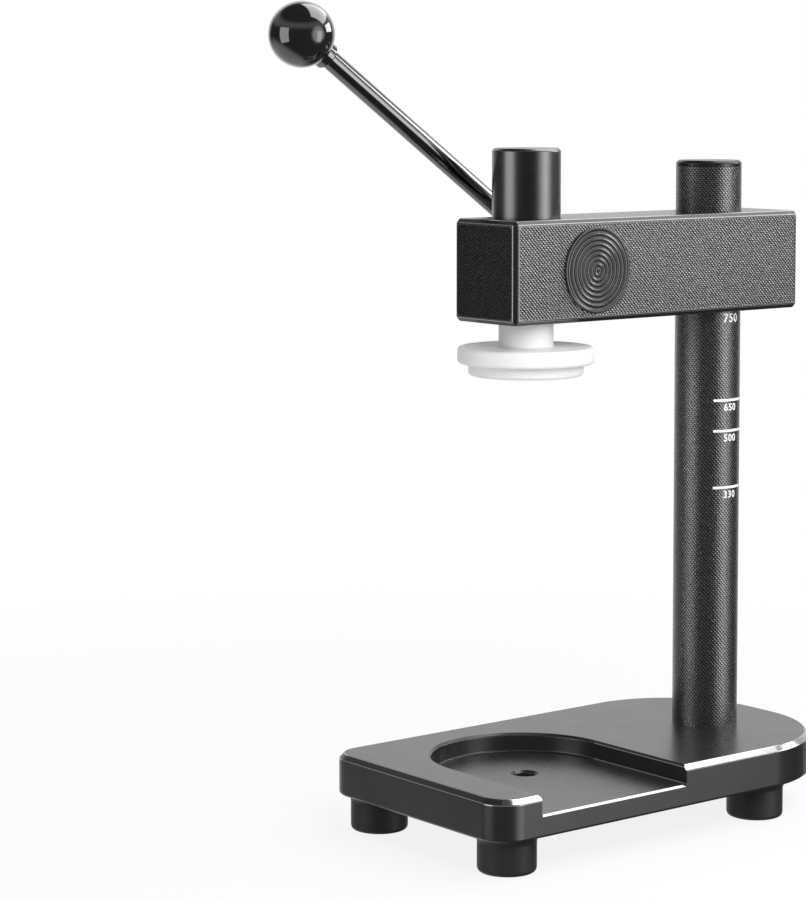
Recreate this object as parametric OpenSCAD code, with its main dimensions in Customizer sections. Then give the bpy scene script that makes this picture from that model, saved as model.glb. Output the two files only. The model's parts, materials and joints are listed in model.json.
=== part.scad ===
// Bench press for closing can and cup lids.
// A rack-and-pinion head slides on a round column that stands on a footed base plate.
// Frame: origin on the pressing axis at the underside of the base plate, +Z up,
// +X from the pressing axis towards the column, -Y towards the open side of the can recess.

/* [Base plate] */
// Length of the base plate, front to back
base_l = 228; // [220:1:300]
// Width of the base plate
base_w = 127; // [114:1:160]
// Thickness of the base plate
base_t = 19.5; // [16:0.5:30]
// Distance from the pressing axis to the front edge
base_front = 68.5; // [60:0.5:80]
// Plan radius of the two front corners
corner_front_r = 14; // [6:1:20]
// Plan radius of the two wide back corners
corner_back_r = 56; // [50:1:56]
// Chamfer round the top edge
base_top_chamfer = 2.5; // [0.5:0.5:3]
// Chamfer round the bottom edge
base_bottom_chamfer = 1; // [0.5:0.5:2]
// Radius of the can recess
recess_r = 44; // [34:0.5:48]
// Depth of the can recess
recess_depth = 9; // [4:0.5:10]
// Diameter of the locating hole in the recess floor
locating_hole_d = 10.6; // [6:0.2:12]

/* [Feet] */
// Diameter of each rubber foot
foot_d = 27; // [20:1:32]
// Height of each foot
foot_h = 17; // [12:1:30]
// Distance from the side edges to the feet
foot_side_gap = 3.5; // [2:0.5:8]
// Distance from the front edge to the front feet
foot_front_gap = 4.5; // [2:0.5:8]
// Distance from the centres of the back corners to the back foot centres, towards the back
foot_back_offset = 2.5; // [0:0.5:8]

/* [Column] */
// Outside diameter of the column tube
column_d = 32; // [28:0.5:38.5]
// Wall of the column tube
column_wall = 2.5; // [2:0.5:4]
// Distance from the pressing axis to the column axis
column_x = 117.5; // [100:0.5:122]
// Height of the column above the base plate, cap included
column_h = 277.5; // [272:0.5:360]
// Depth of the column seat in the base plate
column_seat_depth = 6; // [4:0.5:8]
// Thickness of the column cap's head
cap_t = 3; // [2.5:0.5:6]

/* [Head beam] */
// Length of the head beam
beam_l = 183.5; // [165:0.5:200]
// Wall of the head beam beside its two bores
beam_wall = 6; // [3:0.5:8]
// Height of the head beam
beam_h = 48; // [46:1:60]
// Distance from the pressing axis to the front end of the beam
beam_front = 25.5; // [22:0.5:30]
// Height from the base plate's top to the beam's underside
daylight = 204.5; // [180:0.5:208]
// Chamfer on the beam's edges
beam_chamfer = 2; // [0.5:0.5:3]

/* [Ram and press head] */
// Diameter of the ram
ram_d = 32; // [29:0.5:38.5]
// Length of the ram
ram_l = 74.5; // [66:0.5:84]
// Height of the ram's lower end above the beam's underside
ram_lift = 6; // [4.5:0.5:8]
// Depth of the ram's keyway
keyway_depth = 2.5; // [2:0.5:3]
// Diameter of the press head's disc
press_d = 64; // [50:1:70]
// Thickness of the press head's disc
press_t = 8; // [6:0.5:10]
// Diameter of the step that centres in the lid
step_d = 54; // [44:0.5:58]
// Height of that step
step_h = 5.5; // [4:0.5:8]
// Diameter of the press head's stem
stem_d = 25.6; // [18:0.2:26]
// Length of the press head's stem
stem_l = 17.6; // [16:0.2:24]

/* [Rack and pinion] */
// Gear module
gear_module = 2; // [1.75:0.25:2]
// Number of pinion teeth
pinion_teeth = 12; // [12:1:13]
// Face width of the pinion
pinion_face_w = 18; // [12:1:18]
// Depth of the rack's pitch line inside the ram's round surface
rack_inset = 3.5; // [2:0.25:4]
// Diameter of the pinion shaft's journals
shaft_d = 14; // [12:0.5:15]
// Wall of the pinion bushes
bush_wall = 2; // [1.5:0.25:2.5]
// Diameter of the grooved cover disc
cover_d = 40.2; // [36:0.2:42]
// Number of rings on the cover disc
cover_rings = 8; // [4:1:9]

/* [Lever] */
// Diameter of the lever rod
rod_d = 9; // [7:0.5:10]
// Distance from the pinion axis to the rod's own axis
rod_offset = 13.1; // [8.5:0.1:13.5]
// Distance along the rod from its nearest point to the pinion axis to the ball centre
ball_reach = 169; // [140:1:200]
// Angle of the rod above the horizontal at rest
rod_angle = 35.2; // [25:0.1:45]
// Diameter of the ball knob
ball_d = 30; // [26:1:36]
// Diameter of the lever hub
hub_d = 39; // [38:0.5:44]
// Width of the lever hub
hub_w = 16; // [14:0.5:20]

/* [Column lock] */
// Diameter of the lock knob
lock_knob_d = 27; // [22:1:30]
// Length of the lock knob
lock_knob_l = 18; // [14:1:24]
// Number of finger hollows round the knob
lock_lobes = 6; // [5:1:8]
// Diameter of the lock stud
lock_stud_d = 8; // [6:1:8]

/* [Fits] */
// Radial clearance of the fits that slide or turn
fit_gap = 0.05; // [0.02:0.01:0.08]
// Gap between faces that pass each other
face_gap = 0.3; // [0.2:0.05:0.5]

/* [Hidden] */
$fn = 96;
eps = 0.01;

// Base plate
base_x0 = -base_front;
base_x1 = base_l - base_front;
recess_z = base_t - recess_depth;
edge_break = 1.2;
foot_front_x = base_x0 + foot_front_gap + foot_d / 2;
foot_back_x = base_x1 - corner_back_r + foot_back_offset;
foot_y = base_w / 2 - foot_side_gap - foot_d / 2;
foot_round = 3;
foot_seat_r = 8;
foot_ceiling_t = 5;
foot_screw_d = 5;
foot_screw_depth = 9;
foot_screw_head_h = 3;
foot_washer_t = 1;

// Column
column_r = column_d / 2;
column_bore_r = column_r - column_wall;
column_z0 = base_t - column_seat_depth;
column_top = base_t + column_h;
tube_top = column_top - cap_t;
plug_l = 30;
bolt_d = 10;
bolt_head_r = 8;
bolt_head_h = 6;
bolt_grip = 18;
bolt_washer_t = 1.5;
bolt_pocket_depth = bolt_head_h + bolt_washer_t + 0.5;
cap_chamfer = 1.2;
cap_spigot_l = 12;

// Head beam
beam_x0 = -beam_front;
beam_x1 = beam_l - beam_front;
beam_z0 = base_t + daylight;
beam_z1 = beam_z0 + beam_h;
beam_w = max(ram_d, column_d) + 2 * beam_wall;
beam_y = beam_w / 2;
head_z = beam_z0 + beam_h / 2;
bore_chamfer = 0.8;

// Pinion and its bearings
pitch_r = gear_module * pinion_teeth / 2;
tip_r = pitch_r + gear_module;
root_r = pitch_r - gear_module;
pressure_angle = 20;
gear_base_r = pitch_r * cos(pressure_angle);
tooth_pitch = PI * gear_module;
backlash = 0.2;
// The rack's teeth are cut short so that they clear the roots of a small pinion
rack_addendum = 0.62 * gear_module;
rack_dedendum = 1.2 * gear_module;
flank_steps = 6;
pitch_offset = ram_d / 2 - rack_inset;
pinion_x = pitch_offset + pitch_r;
shaft_r = shaft_d / 2;
bush_r = shaft_r + bush_wall;
pinion_y = pinion_face_w / 2;
gear_bay_r = tip_r + 0.6;
gear_bay_y = pinion_y + 0.5;
cover_t = 3;
cover_proud = 1;
cover_y = beam_y + cover_proud;
groove_w = 0.7;
groove_depth = 0.5;
cover_floor_t = 2.5;
thrust_washer_t = 0.8;

// Lever
hub_y0 = beam_y + thrust_washer_t + 0.1;
hub_y1 = hub_y0 + hub_w;
rod_y = (hub_y0 + hub_y1) / 2;
hub_r = hub_d / 2;
rod_r = rod_d / 2;
rod_wall = 1.5;
rod_start = sqrt(max(0, pow(shaft_r + rod_wall, 2) - pow(rod_offset - rod_r, 2)));
rod_neck_r = rod_r - 0.5;
insert_r = rod_neck_r + 2;
insert_l = 16;
collar_r = rod_r + 1.8;
collar_l = 4;
ball_flat_r = collar_r + 0.5;
ball_foot = ball_reach - sqrt(ball_d * ball_d / 4 - ball_flat_r * ball_flat_r);
key_w = 4;
key_h = 4;
key_l = 12;
end_screw_d = 6;
end_screw_depth = 12;
end_washer_t = 1.5;
end_washer_r = shaft_r + 3;
rod_screw_d = 5;
rod_screw_at = 10;

// Ram
ram_r = ram_d / 2;
ram_z0 = beam_z0 + ram_lift;
ram_chamfer = 1.2;
ram_up = 4.5;
ram_down = 18;
mesh_reach = 9;
rack_z0 = head_z - mesh_reach - ram_up;
rack_z1 = head_z + mesh_reach + ram_down;
keyway_w = 4;
guide_z = beam_z0 + 9;
guide_screw_d = 5;

// Press head
press_z1 = ram_z0 - stem_l;
press_z0 = press_z1 - press_t;
step_z0 = press_z0 - step_h;
head_screw_d = 6;
head_screw_head_r = 5;
head_screw_head_h = 6;
head_screw_grip = 14;
head_washer_t = 1.5;
head_washer_r = 7.5;
head_pocket_depth = head_screw_head_h + head_washer_t + 1;
head_screw_z0 = step_z0 + head_pocket_depth;

// Column lock
lock_boss_r = 10;
lock_boss_l = 8;
lock_pad_r = lock_stud_d / 2 - 0.6;
lock_pad_l = 5;
lock_y0 = column_r + fit_gap;
lock_stud_y0 = lock_y0 + lock_pad_l;
lock_knob_y0 = beam_y + lock_boss_l + 1.5;

// --- helpers -------------------------------------------------------------

// A cylinder along +Y from y0 with the given length
module y_rod(r, y0, l) {
    translate([0, y0, 0]) rotate([-90, 0, 0]) cylinder(r = r, h = l);
}

// A cylinder with one chamfered end at its top
module chamfered_post(r, h, c) {
    rotate_extrude()
        polygon([[0, 0], [r, 0], [r, h - c], [r - c, h], [0, h]]);
}

// Section of a bar w wide and h high with a chamfer c on all four edges
module chamfered_rect(w, h, c) {
    polygon([
        [-w / 2 + c, 0], [w / 2 - c, 0], [w / 2, c], [w / 2, h - c],
        [w / 2 - c, h], [-w / 2 + c, h], [-w / 2, h - c], [-w / 2, c]
    ]);
}

// Socket screw along +Z: its head hangs below z = 0 and its shank stands above
module socket_screw(d, l, head_r, head_h, key_af) {
    difference() {
        union() {
            cylinder(r = d / 2, h = l);
            translate([0, 0, -head_h]) cylinder(r = head_r, h = head_h);
        }
        translate([0, 0, -head_h - eps])
            cylinder(r = key_af / sqrt(3), h = head_h * 0.55 + eps, $fn = 6);
    }
}

// Grub screw along +Z from z = 0 with a hexagon socket at its top
module grub_screw(d, l, key_af) {
    difference() {
        cylinder(r = d / 2, h = l);
        translate([0, 0, l * 0.5]) cylinder(r = key_af / sqrt(3), h = l, $fn = 6);
    }
}

// Flat washer from z = 0 up
module washer(r_out, r_in, t) {
    difference() {
        cylinder(r = r_out, h = t);
        translate([0, 0, -eps]) cylinder(r = r_in, h = t + 2 * eps);
    }
}

// --- base ------------------------------------------------------------------

// Base slab: bars with chamfered edges, two turned front corners and two wide turned back corners
module base_slab() {
    ct = base_top_chamfer;
    cb = base_bottom_chamfer;
    side_y = base_w / 2;
    union() {
        translate([base_x0 + corner_front_r, 0, 0])
            rotate([90, 0, 90])
                linear_extrude(height = base_l - corner_front_r - corner_back_r)
                    chamfered_section(-side_y, side_y);
        translate([0, side_y - corner_front_r, 0])
            rotate([90, 0, 0])
                linear_extrude(height = base_w - 2 * corner_front_r)
                    polygon([
                        [base_x0 + cb, 0], [0, 0], [0, base_t], [base_x0 + ct, base_t],
                        [base_x0, base_t - ct], [base_x0, cb]
                    ]);
        for (side = [-1, 1])
            translate([base_x0 + corner_front_r, side * (side_y - corner_front_r), 0])
                turned_corner(corner_front_r);
        translate([0, side_y - corner_back_r, 0])
            rotate([90, 0, 0])
                linear_extrude(height = base_w - 2 * corner_back_r)
                    polygon([
                        [0, 0], [base_x1 - cb, 0], [base_x1, cb], [base_x1, base_t - ct],
                        [base_x1 - ct, base_t], [0, base_t]
                    ]);
        for (side = [-1, 1])
            translate([base_x1 - corner_back_r, side * (side_y - corner_back_r), 0])
                turned_corner(corner_back_r);
    }
}

// Section of the slab from a to b, with the chamfers of its two edges
module chamfered_section(a, b) {
    ct = base_top_chamfer;
    cb = base_bottom_chamfer;
    polygon([
        [a + cb, 0], [b - cb, 0], [b, cb], [b, base_t - ct],
        [b - ct, base_t], [a + ct, base_t], [a, base_t - ct], [a, cb]
    ]);
}

module turned_corner(r) {
    ct = base_top_chamfer;
    cb = base_bottom_chamfer;
    rotate_extrude()
        polygon([[0, 0], [r - cb, 0], [r, cb], [r, base_t - ct], [r - ct, base_t], [0, base_t]]);
}

// U-shaped recess round the pressing axis, open towards -Y
module can_recess() {
    mouth = base_w / 2 + 1;
    translate([0, 0, recess_z]) cylinder(r = recess_r, h = recess_depth + 1);
    translate([-recess_r, -mouth, recess_z]) cube([2 * recess_r, mouth, recess_depth + 1]);
    translate([0, 0, base_t - edge_break])
        cylinder(r1 = recess_r, r2 = recess_r + edge_break + 1, h = edge_break + 1);
    translate([0, 0, base_t])
        rotate([90, 0, 0])
            linear_extrude(height = mouth)
                polygon([
                    [-recess_r, -edge_break], [recess_r, -edge_break],
                    [recess_r + edge_break + 1, 1], [-recess_r - edge_break - 1, 1]
                ]);
}

module at_feet() {
    for (x = [foot_front_x, foot_back_x])
        for (side = [-1, 1])
            translate([x, side * foot_y, 0]) children();
}

module base_plate() {
    color("dimgray") difference() {
        base_slab();
        can_recess();
        translate([0, 0, -1]) cylinder(d = locating_hole_d, h = base_t);
        translate([0, 0, recess_z - edge_break])
            cylinder(
                r1 = locating_hole_d / 2,
                r2 = locating_hole_d / 2 + edge_break + eps,
                h = edge_break + eps
            );
        at_feet() translate([0, 0, -1]) cylinder(d = foot_screw_d, h = foot_screw_depth + 1);
        translate([column_x, 0, column_z0]) cylinder(r = column_r + fit_gap, h = column_seat_depth + 1);
        translate([column_x, 0, -1]) cylinder(r = bolt_d / 2 + 0.5, h = base_t + 2);
        translate([column_x, 0, -1]) cylinder(r = bolt_head_r + 1.5, h = bolt_pocket_depth + 1);
    }
}

// Rubber foot: rounded foot, wide seat under the base, screw hole with a counterbore from below
module foot(x, y) {
    r = foot_d / 2;
    color("black") translate([x, y, -foot_h]) difference() {
        rotate_extrude() union() {
            square([r - foot_round, foot_h]);
            translate([0, foot_round]) square([r, foot_h - foot_round]);
            translate([r - foot_round, foot_round]) circle(r = foot_round);
            polygon([[0, foot_h - 2], [r, foot_h - 2], [r + 1.2, foot_h], [0, foot_h]]);
        }
        translate([0, 0, -1]) cylinder(r = foot_seat_r, h = foot_h - foot_ceiling_t + 1);
        translate([0, 0, -1]) cylinder(r = foot_screw_d / 2 + 0.3, h = foot_h + 2);
    }
}

module foot_front_near() { foot(foot_front_x, -foot_y); }
module foot_front_far() { foot(foot_front_x, foot_y); }
module foot_back_near() { foot(foot_back_x, -foot_y); }
module foot_back_far() { foot(foot_back_x, foot_y); }

module foot_screws() {
    under_head = foot_ceiling_t + foot_washer_t;
    color("silver") at_feet() translate([0, 0, -under_head])
        socket_screw(foot_screw_d, under_head + foot_screw_depth - 1, 4.2, foot_screw_head_h, 3);
}

module foot_washers() {
    color("silver") at_feet() translate([0, 0, -foot_ceiling_t - foot_washer_t])
        washer(6.5, foot_screw_d / 2 + 0.2, foot_washer_t);
}

// --- column ----------------------------------------------------------------

module column_tube() {
    color("black") translate([column_x, 0, column_z0]) difference() {
        cylinder(r = column_r, h = tube_top - column_z0);
        translate([0, 0, -1]) cylinder(r = column_bore_r, h = tube_top - column_z0 + 2);
    }
}

module column_foot_plug() {
    color("silver") translate([column_x, 0, column_z0]) difference() {
        cylinder(r = column_bore_r, h = plug_l);
        translate([0, 0, -1]) cylinder(d = bolt_d, h = plug_l + 2);
    }
}

module column_bolt() {
    color("silver") translate([column_x, 0, bolt_pocket_depth])
        translate([0, 0, -bolt_washer_t])
            socket_screw(bolt_d, bolt_washer_t + column_z0 - bolt_pocket_depth + bolt_grip, bolt_head_r,
                bolt_head_h, 8);
}

module column_washer() {
    color("silver") translate([column_x, 0, bolt_pocket_depth - bolt_washer_t])
        washer(bolt_head_r + 1, bolt_d / 2 + 0.25, bolt_washer_t);
}

module column_cap() {
    color("black") translate([column_x, 0, tube_top]) {
        chamfered_post(column_r, cap_t, cap_chamfer);
        translate([0, 0, -cap_spigot_l]) cylinder(r = column_bore_r - fit_gap, h = cap_spigot_l + eps);
    }
}

// --- head ------------------------------------------------------------------

// Bar with every edge chamfered
module beam_bar() {
    intersection() {
        translate([beam_x0, 0, beam_z0]) rotate([90, 0, 90])
            linear_extrude(height = beam_l) chamfered_rect(beam_w, beam_h, beam_chamfer);
        translate([(beam_x0 + beam_x1) / 2, beam_y, beam_z0]) rotate([90, 0, 0])
            linear_extrude(height = beam_w) chamfered_rect(beam_l, beam_h, beam_chamfer);
        translate([(beam_x0 + beam_x1) / 2, -beam_y, beam_z0])
            linear_extrude(height = beam_h) chamfered_rect(beam_l, beam_w, beam_chamfer);
    }
}

// Through bore along Z with broken edges at both faces of the beam
module beam_bore(r) {
    translate([0, 0, beam_z0 - 1]) cylinder(r = r, h = beam_h + 2);
    translate([0, 0, beam_z0 - eps]) cylinder(r1 = r + bore_chamfer, r2 = r, h = bore_chamfer);
    translate([0, 0, beam_z1 - bore_chamfer + eps])
        cylinder(r1 = r, r2 = r + bore_chamfer, h = bore_chamfer);
}

module head_beam() {
    color("dimgray") difference() {
        union() {
            beam_bar();
            translate([column_x, 0, head_z]) y_rod(lock_boss_r, beam_y - 1, lock_boss_l + 1);
        }
        beam_bore(ram_r + fit_gap);
        translate([column_x, 0, 0]) beam_bore(column_r + fit_gap);
        translate([pinion_x, 0, head_z]) {
            y_rod(gear_bay_r, -beam_y - 1, beam_y + 1 + gear_bay_y);
            y_rod(cover_d / 2 + fit_gap, -beam_y - 1, 1 + cover_t - cover_proud);
            y_rod(bush_r, gear_bay_y - 1, beam_y);
        }
        translate([0, 0, guide_z]) y_rod(guide_screw_d / 2, 0, beam_y + 1);
        translate([column_x, 0, head_z])
            y_rod(lock_stud_d / 2 + fit_gap, 0, beam_y + lock_boss_l + 1);
    }
}

// Cover disc: turned rings on its face and a spigot that carries the near bush
module pinion_cover() {
    face_r = cover_d / 2;
    ring_pitch = (face_r - 1) / cover_rings;
    spigot_l = cover_y - gear_bay_y - cover_t;
    color("dimgray") difference() {
        translate([pinion_x, -cover_y, head_z]) rotate([-90, 0, 0]) difference() {
            union() {
                cylinder(r = face_r, h = cover_t);
                cylinder(r = gear_bay_r - fit_gap, h = cover_t + spigot_l);
            }
            for (i = [1 : cover_rings])
                translate([0, 0, -eps])
                    washer(i * ring_pitch, i * ring_pitch - groove_w, groove_depth);
            translate([0, 0, cover_floor_t]) cylinder(r = bush_r, h = cover_t + spigot_l);
        }
        // The spigot is relieved where the ram passes it
        translate([0, 0, beam_z0]) cylinder(r = ram_r + face_gap, h = beam_h);
    }
}

module pinion_bush_near() {
    color("goldenrod") translate([pinion_x, -cover_y + cover_floor_t, head_z]) rotate([-90, 0, 0])
        washer(bush_r, shaft_r + fit_gap, cover_y - cover_floor_t - gear_bay_y);
}

module pinion_bush_far() {
    color("goldenrod") translate([pinion_x, gear_bay_y, head_z]) rotate([-90, 0, 0])
        washer(bush_r, shaft_r + fit_gap, beam_y - gear_bay_y);
}

// Involute of an angle in degrees, as an angle in degrees
function involute(a) = tan(a) * 180 / PI - a;

// Half angle that a tooth spans at radius r
function tooth_half_angle(r) =
    let (thickness = tooth_pitch / 2 - backlash / 2)
    let (at_r = r > gear_base_r ? acos(gear_base_r / r) : 0)
    thickness / 2 / pitch_r * 180 / PI + involute(pressure_angle) - involute(at_r);

function polar(r, a) = [r * cos(a), r * sin(a)];

module pinion_tooth() {
    radii = [for (i = [0 : flank_steps]) gear_base_r + i * (tip_r - gear_base_r) / flank_steps];
    root_a = tooth_half_angle(gear_base_r);
    polygon(concat(
        [polar(root_r - 0.6, root_a)],
        [for (r = radii) polar(r, tooth_half_angle(r))],
        [for (i = [flank_steps : -1 : 0]) polar(radii[i], -tooth_half_angle(radii[i]))],
        [polar(root_r - 0.6, -root_a)]
    ));
}

// Shaft and pinion in one piece, drawn along +Y about the pinion axis
module pinion_shaft() {
    near_y = -cover_y + cover_floor_t + face_gap;
    far_y = hub_y1 - face_gap;
    color("silver") translate([pinion_x, 0, head_z]) difference() {
        union() {
            y_rod(shaft_r, near_y, far_y - near_y);
            translate([0, pinion_y, 0]) rotate([90, 0, 0]) linear_extrude(height = pinion_face_w)
                union() {
                    circle(r = root_r);
                    for (i = [0 : pinion_teeth - 1])
                        rotate(180 + i * 360 / pinion_teeth) pinion_tooth();
                }
        }
        y_rod(end_screw_d / 2, far_y - end_screw_depth, end_screw_depth + 1);
        translate([-shaft_r - 1, far_y - key_l, -key_w / 2]) cube([1 + key_h / 2, key_l + 1, key_w]);
    }
}

module thrust_washer() {
    color("ivory") translate([pinion_x, beam_y, head_z]) rotate([-90, 0, 0])
        washer(bush_r + 4, shaft_r + fit_gap, thrust_washer_t);
}

// --- lever -----------------------------------------------------------------

// Places children on the rod's axis: +Z runs outwards, z = 0 is the point nearest the pinion axis
module on_rod() {
    translate([pinion_x, rod_y, head_z])
        rotate([0, -90 + rod_angle, 0]) translate([rod_offset, 0, 0]) children();
}

module lever_hub() {
    chamfer = 1;
    color("dimgray") difference() {
        translate([pinion_x, hub_y0, head_z]) rotate([-90, 0, 0]) rotate_extrude()
            polygon([
                [shaft_r + fit_gap, 0], [hub_r - chamfer, 0], [hub_r, chamfer],
                [hub_r, hub_w - chamfer], [hub_r - chamfer, hub_w], [shaft_r + fit_gap, hub_w]
            ]);
        on_rod() translate([0, 0, rod_start]) cylinder(r = rod_r + fit_gap, h = hub_d);
        translate([pinion_x - shaft_r - key_h / 2, hub_y1 - face_gap - key_l, head_z - key_w / 2])
            cube([key_h, key_l + 1, key_w]);
        on_rod() translate([0, 0, rod_screw_at]) y_rod(rod_screw_d / 2, 0, hub_w);
    }
}

module hub_key() {
    color("silver")
        translate([pinion_x - shaft_r - key_h / 2, hub_y1 - face_gap - key_l + 0.02, head_z - key_w / 2])
            cube([key_h, key_l - 0.04, key_w]);
}

module hub_end_washer() {
    color("silver") translate([pinion_x, hub_y1, head_z]) rotate([-90, 0, 0])
        washer(end_washer_r, end_screw_d / 2 + 0.2, end_washer_t);
}

module hub_end_screw() {
    color("silver") translate([pinion_x, hub_y1 + end_washer_t, head_z]) rotate([90, 0, 0])
        socket_screw(end_screw_d, end_washer_t + end_screw_depth - 1, 5, 4, 4);
}

// Grub screw that holds the rod in the hub
module rod_set_screw() {
    color("silver") on_rod() translate([0, rod_r, rod_screw_at]) rotate([-90, 0, 0])
        grub_screw(rod_screw_d, hub_w / 2 - rod_r - face_gap, 2.5);
}

module lever_rod() {
    color("dimgray") on_rod() {
        translate([0, 0, rod_start]) cylinder(r = rod_r, h = ball_foot - rod_start);
        translate([0, 0, ball_foot - eps]) cylinder(r = rod_neck_r, h = insert_l - 1);
    }
}

module ball_collar() {
    color("dimgray") on_rod() translate([0, 0, ball_foot - collar_l])
        washer(collar_r, rod_r, collar_l);
}

module ball_insert() {
    color("goldenrod") on_rod() translate([0, 0, ball_foot])
        washer(insert_r, rod_neck_r, insert_l);
}

module ball_knob() {
    color("black") on_rod() difference() {
        translate([0, 0, ball_reach]) sphere(d = ball_d);
        translate([0, 0, ball_foot - ball_d]) cylinder(r = ball_d, h = ball_d);
        translate([0, 0, ball_foot - 1]) cylinder(r = insert_r, h = insert_l + 1);
    }
}

// --- ram -------------------------------------------------------------------

// Rack tooth space, as a section in X-Z that cuts in from +X
module rack_space() {
    half = tooth_pitch / 4 + backlash / 4;
    slope = tan(pressure_angle);
    outside = gear_module + 0.6;
    polygon([
        [pitch_offset - rack_dedendum, -half + rack_dedendum * slope],
        [pitch_offset + outside, -half - outside * slope],
        [pitch_offset + outside, half + outside * slope],
        [pitch_offset - rack_dedendum, half - rack_dedendum * slope]
    ]);
}

module ram() {
    spaces_down = floor((head_z - rack_z0) / tooth_pitch);
    spaces_up = floor((rack_z1 - head_z) / tooth_pitch);
    color("dimgray") difference() {
        translate([0, 0, ram_z0]) chamfered_post(ram_r, ram_l, ram_chamfer);
        translate([0, ram_r, 0]) rotate([90, 0, 0]) linear_extrude(height = ram_d)
            for (i = [-spaces_down : spaces_up])
                translate([0, head_z + i * tooth_pitch]) rack_space();
        translate([pitch_offset + rack_addendum, -ram_r, rack_z0 - 1])
            cube([ram_r, ram_d, rack_z1 - rack_z0 + 2]);
        translate([-keyway_w / 2, ram_r - keyway_depth, guide_z - ram_up - keyway_w])
            cube([keyway_w, ram_r, ram_up + ram_down + 2 * keyway_w]);
        translate([0, 0, ram_z0 - 1]) cylinder(d = head_screw_d, h = head_screw_grip + 1);
    }
}

// Grub screw with a dog point that runs in the ram's keyway
module ram_guide_screw() {
    dog_y = ram_r - keyway_depth + face_gap;
    color("silver") translate([0, 0, guide_z]) difference() {
        union() {
            y_rod(keyway_w / 2 - fit_gap, dog_y, beam_y - dog_y - 0.5);
            y_rod(guide_screw_d / 2, ram_r + fit_gap, beam_y - ram_r - fit_gap - 0.3);
        }
        translate([0, beam_y - 2, 0]) rotate([-90, 0, 0]) cylinder(r = 2.5 / sqrt(3), h = 3, $fn = 6);
    }
}

// Press head: stem, disc with rounded rim, lid step, screw pocket from below
module press_head() {
    press_r = press_d / 2;
    step_r = step_d / 2;
    round_r = press_t / 4;
    color("white") difference() {
        translate([0, 0, step_z0]) rotate_extrude() union() {
            polygon([
                [0, 0], [step_r - 1.2, 0], [step_r - 0.2, 1], [step_r, step_h],
                [press_r - round_r, step_h], [press_r - round_r, step_h + press_t], [0, step_h + press_t]
            ]);
            translate([0, step_h + round_r]) square([press_r, press_t - 2 * round_r]);
            translate([press_r - round_r, step_h + round_r]) circle(r = round_r);
            translate([press_r - round_r, step_h + press_t - round_r]) circle(r = round_r);
            square([stem_d / 2, step_h + press_t + stem_l]);
        }
        translate([0, 0, step_z0 - 1]) cylinder(d = head_screw_d + 0.6, h = ram_z0 - step_z0 + 2);
        translate([0, 0, step_z0 - 1]) cylinder(r = head_washer_r + 0.3, h = head_pocket_depth + 1);
    }
}

module press_head_washer() {
    color("silver") translate([0, 0, head_screw_z0 - head_washer_t])
        washer(head_washer_r, head_screw_d / 2 + 0.2, head_washer_t);
}

module press_head_screw() {
    color("silver") translate([0, 0, head_screw_z0 - head_washer_t])
        socket_screw(head_screw_d, ram_z0 - head_screw_z0 + head_washer_t + head_screw_grip - 1,
            head_screw_head_r, head_screw_head_h, 5);
}

// --- column lock -----------------------------------------------------------

module lock_knob() {
    knob_r = lock_knob_d / 2;
    color("black") translate([column_x, lock_knob_y0, head_z]) rotate([-90, 0, 0]) difference() {
        rotate_extrude()
            polygon([
                [0, 0], [knob_r * 0.62, 0], [knob_r - 1, 3], [knob_r, 4.5],
                [knob_r, lock_knob_l - 2], [knob_r - 2, lock_knob_l], [0, lock_knob_l]
            ]);
        for (i = [0 : lock_lobes - 1])
            rotate(i * 360 / lock_lobes) translate([knob_r + 2.2, 0, -1])
                cylinder(r = 4.2, h = lock_knob_l + 2);
        translate([0, 0, -1]) cylinder(d = lock_stud_d, h = lock_knob_l - 3);
    }
}

module lock_stud() {
    color("silver") translate([column_x, 0, head_z])
        y_rod(lock_stud_d / 2, lock_stud_y0, lock_knob_y0 + lock_knob_l - 5 - lock_stud_y0);
}

module lock_pad() {
    color("ivory") translate([column_x, 0, head_z]) difference() {
        y_rod(lock_pad_r, lock_y0 - 0.6, lock_pad_l + 0.6);
        translate([0, 0, -lock_pad_r - 1]) cylinder(r = column_r + fit_gap, h = 2 * lock_pad_r + 2);
    }
}

base_plate();
foot_front_near();
foot_front_far();
foot_back_near();
foot_back_far();
foot_screws();
foot_washers();
column_tube();
column_foot_plug();
column_bolt();
column_washer();
column_cap();
head_beam();
pinion_cover();
pinion_bush_near();
pinion_bush_far();
pinion_shaft();
thrust_washer();
lever_hub();
hub_key();
hub_end_screw();
hub_end_washer();
rod_set_screw();
lever_rod();
ball_collar();
ball_insert();
ball_knob();
ram();
ram_guide_screw();
press_head();
press_head_screw();
press_head_washer();
lock_knob();
lock_stud();
lock_pad();
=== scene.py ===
# %% [markdown]
# # A bench lid press, built on its CAD frame
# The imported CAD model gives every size, place and moving body. Blender adds the looks:
# softened edges, grained and turned surfaces, printed marks and studio light.
# All places are read from the frame, so a piece here goes where the CAD says.

# %% Load the frame
import json
import math
import bpy
import bmesh
from mathutils import Matrix, Vector


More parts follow.
